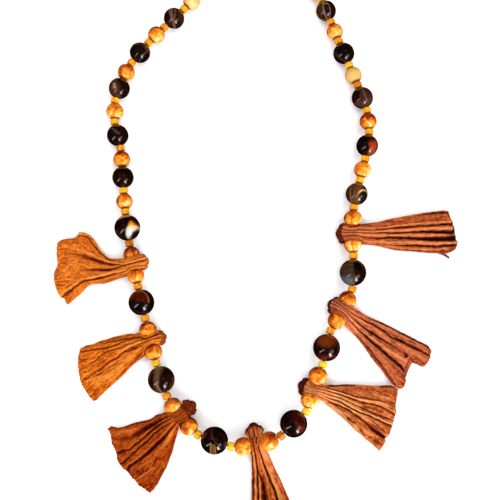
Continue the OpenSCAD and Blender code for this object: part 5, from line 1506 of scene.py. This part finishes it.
# ---------------------------------------------------------------- clasp
def clasp_piece():
    r, h, bore = CLASP_D / 2, CLASP_L / 2 - 0.3, HOLE / 2
    half = [(-h, bore), (-h - 0.0, 0.36 * r), (-h + 0.10, 0.43 * r), (-h + 0.28, 0.50 * r), (-h + 0.40, 0.50 * r),
            (-h + 0.46, 0.58 * r), (-h + 0.70, 0.68 * r), (-h + 0.95, 0.76 * r), (-h + 1.05, 0.74 * r), (-h + 1.15, 0.78 * r),
            (-h + 1.45, 0.87 * r), (-h + 1.80, 0.94 * r), (-h + 2.10, 0.985 * r), (-h + 2.30, r), (-h + 2.55, r), (-h + 2.62, 0.955 * r), (-h + 2.78, 0.955 * r), (-h + 2.85, r)]
    for k in range(1, 9):
        half.append((-h + 2.85 + 2.45 * k / 9, r))
    half += [(-0.62, r), (-0.55, 0.955 * r), (-0.42, 0.955 * r), (-0.36, r), (-0.10, r), (-0.05, 0.95 * r)]
    profile = half + [(-x, y) for x, y in reversed(half)] + [(h * 0.5, bore), (-h * 0.5, bore)]
    count = 96
    verts, faces = lathe(clasp_mid, clasp_dir, profile, count)
    u, w = frame_of(clasp_dir)
    out, flute = [], []
    for v in verts:
        p = v - clasp_mid
        x, y, z = p.dot(clasp_dir), p.dot(u), p.dot(w)
        rr, a = math.hypot(y, z), math.atan2(z, y)
        band = ease((abs(x) - 0.70) / 0.25) * (1 - ease((abs(x) - (h - 3.15)) / 0.25))
        k = 0.035 * band * (0.5 + 0.5 * math.cos(24 * a)) if rr > 0.97 * r else 0.0
        out.append(clasp_mid + clasp_dir * x + (u * y + w * z) * (1 - k))
        flute.append(k / 0.035)
    m = Nodes("brass")
    wear_and_painted_shade = m.noise(m.place(), 320, 4, 0.6)
    speck = m.noise(m.place(), 2400, 3, 0.6)
    tone = m.ramp(wear_and_painted_shade, [(0.34, (0.42, 0.25, 0.075)), (0.52, (0.66, 0.43, 0.14)), (0.70, (0.80, 0.58, 0.24))])
    tone = m.mix(m.math("MULTIPLY", m.attr("flute"), 0.65), tone, (0.14, 0.070, 0.020))
    m.set(Base_Color=tone, Metallic=0.55, Roughness=m.step(m.math("ADD", m.math("MULTIPLY", wear_and_painted_shade, 0.6), m.math("MULTIPLY", speck, 0.4)), 0.35, 0.65, 0.22, 0.42, "LINEAR"))
    m.bump(speck, 0.12, 0.0001)
    add_piece("barrel_clasp_body", out, faces, [m.mat], ["barrel_clasp"], attrs=dict(flute=flute))


clasp_piece()


# ---------------------------------------------------------------- light, floor
scene = bpy.context.scene
scene.view_settings.view_transform = "Standard"
world = bpy.data.worlds.new("studio")
scene.world = world
world.use_nodes = True
world.node_tree.nodes["Background"].inputs["Color"].default_value = (0.97, 0.98, 1.0, 1)
world.node_tree.nodes["Background"].inputs["Strength"].default_value = 0.80


# the room's soft light is there for the eye but not mirrored in the glossy beads
if hasattr(world, "cycles_visibility"):
    world.cycles_visibility.glossy = False


def lamp(name, way, distance, size, power, colour=(1, 1, 1), mirrored=True, up=None):
    data = bpy.data.lights.new(name, "AREA")
    data.shape = "RECTANGLE"
    data.size, data.size_y = size
    data.energy = power
    data.color = colour
    ob = bpy.data.objects.new(name, data)
    scene.collection.objects.link(ob)
    ob.visible_glossy = mirrored
    way = Vector(way).normalized()
    ob.location = way * distance
    ob.rotation_euler = (-way).to_track_quat("-Z", "Y").to_euler()
    if up:
        y = (Vector(up) - way * way.dot(Vector(up))).normalized()
        ob.rotation_euler = Matrix((y.cross(way), y, way)).transposed().to_euler()
    return ob


lamp("window_right", (0.40, -0.89, 0.22), 1.1, (0.26, 0.60), 9.0, (0.96, 0.98, 1.0))
lamp("window_glow", (0.62, -0.62, 0.47), 1.1, (0.55, 0.45), 2.6, (0.85, 0.92, 1.0))
lamp("window_left", (-0.5885, -0.51, 0.471), 1.0, (0.075, 0.92), 2.6, (0.95, 0.95, 1.0), up=(0.399, 0.191, 0.704))
lamp("soft_front", (0.28, -0.70, 0.66), 1.2, (0.70, 0.60), 7.5, (1.0, 0.99, 0.97), False)
lamp("ceiling_left", (-0.42, 0.20, 0.885), 1.3, (0.55, 0.55), 2.8, (1.0, 0.98, 0.95), False)
lamp("ceiling_right", (0.29, 0.10, 0.95), 1.3, (0.55, 0.55), 2.8, (1.0, 0.98, 0.95), False)
lamp("spark_left", (-0.42, 0.20, 0.885), 1.3, (0.15, 0.15), 1.1, (1.0, 0.98, 0.95))
lamp("spark_right", (0.29, 0.10, 0.95), 1.3, (0.15, 0.15), 1.1, (1.0, 0.98, 0.95))

floor_mat = Nodes("floor")
fine = floor_mat.noise(floor_mat.place(), 60, 4, 0.6)
floor_mat.set(Base_Color=floor_mat.ramp(fine, [(0.3, (0.93, 0.93, 0.93)), (0.7, (0.97, 0.97, 0.97))]), Roughness=0.7)
me = bpy.data.meshes.new("floor")
me.from_pydata([(-2, -2, -0.0001), (2, -2, -0.0001), (2, 2, -0.0001), (-2, 2, -0.0001)], [], [(0, 1, 2, 3)])
me.materials.append(floor_mat.mat)
floor = bpy.data.objects.new("floor", me)
scene.collection.objects.link(floor)
floor.visible_glossy = False
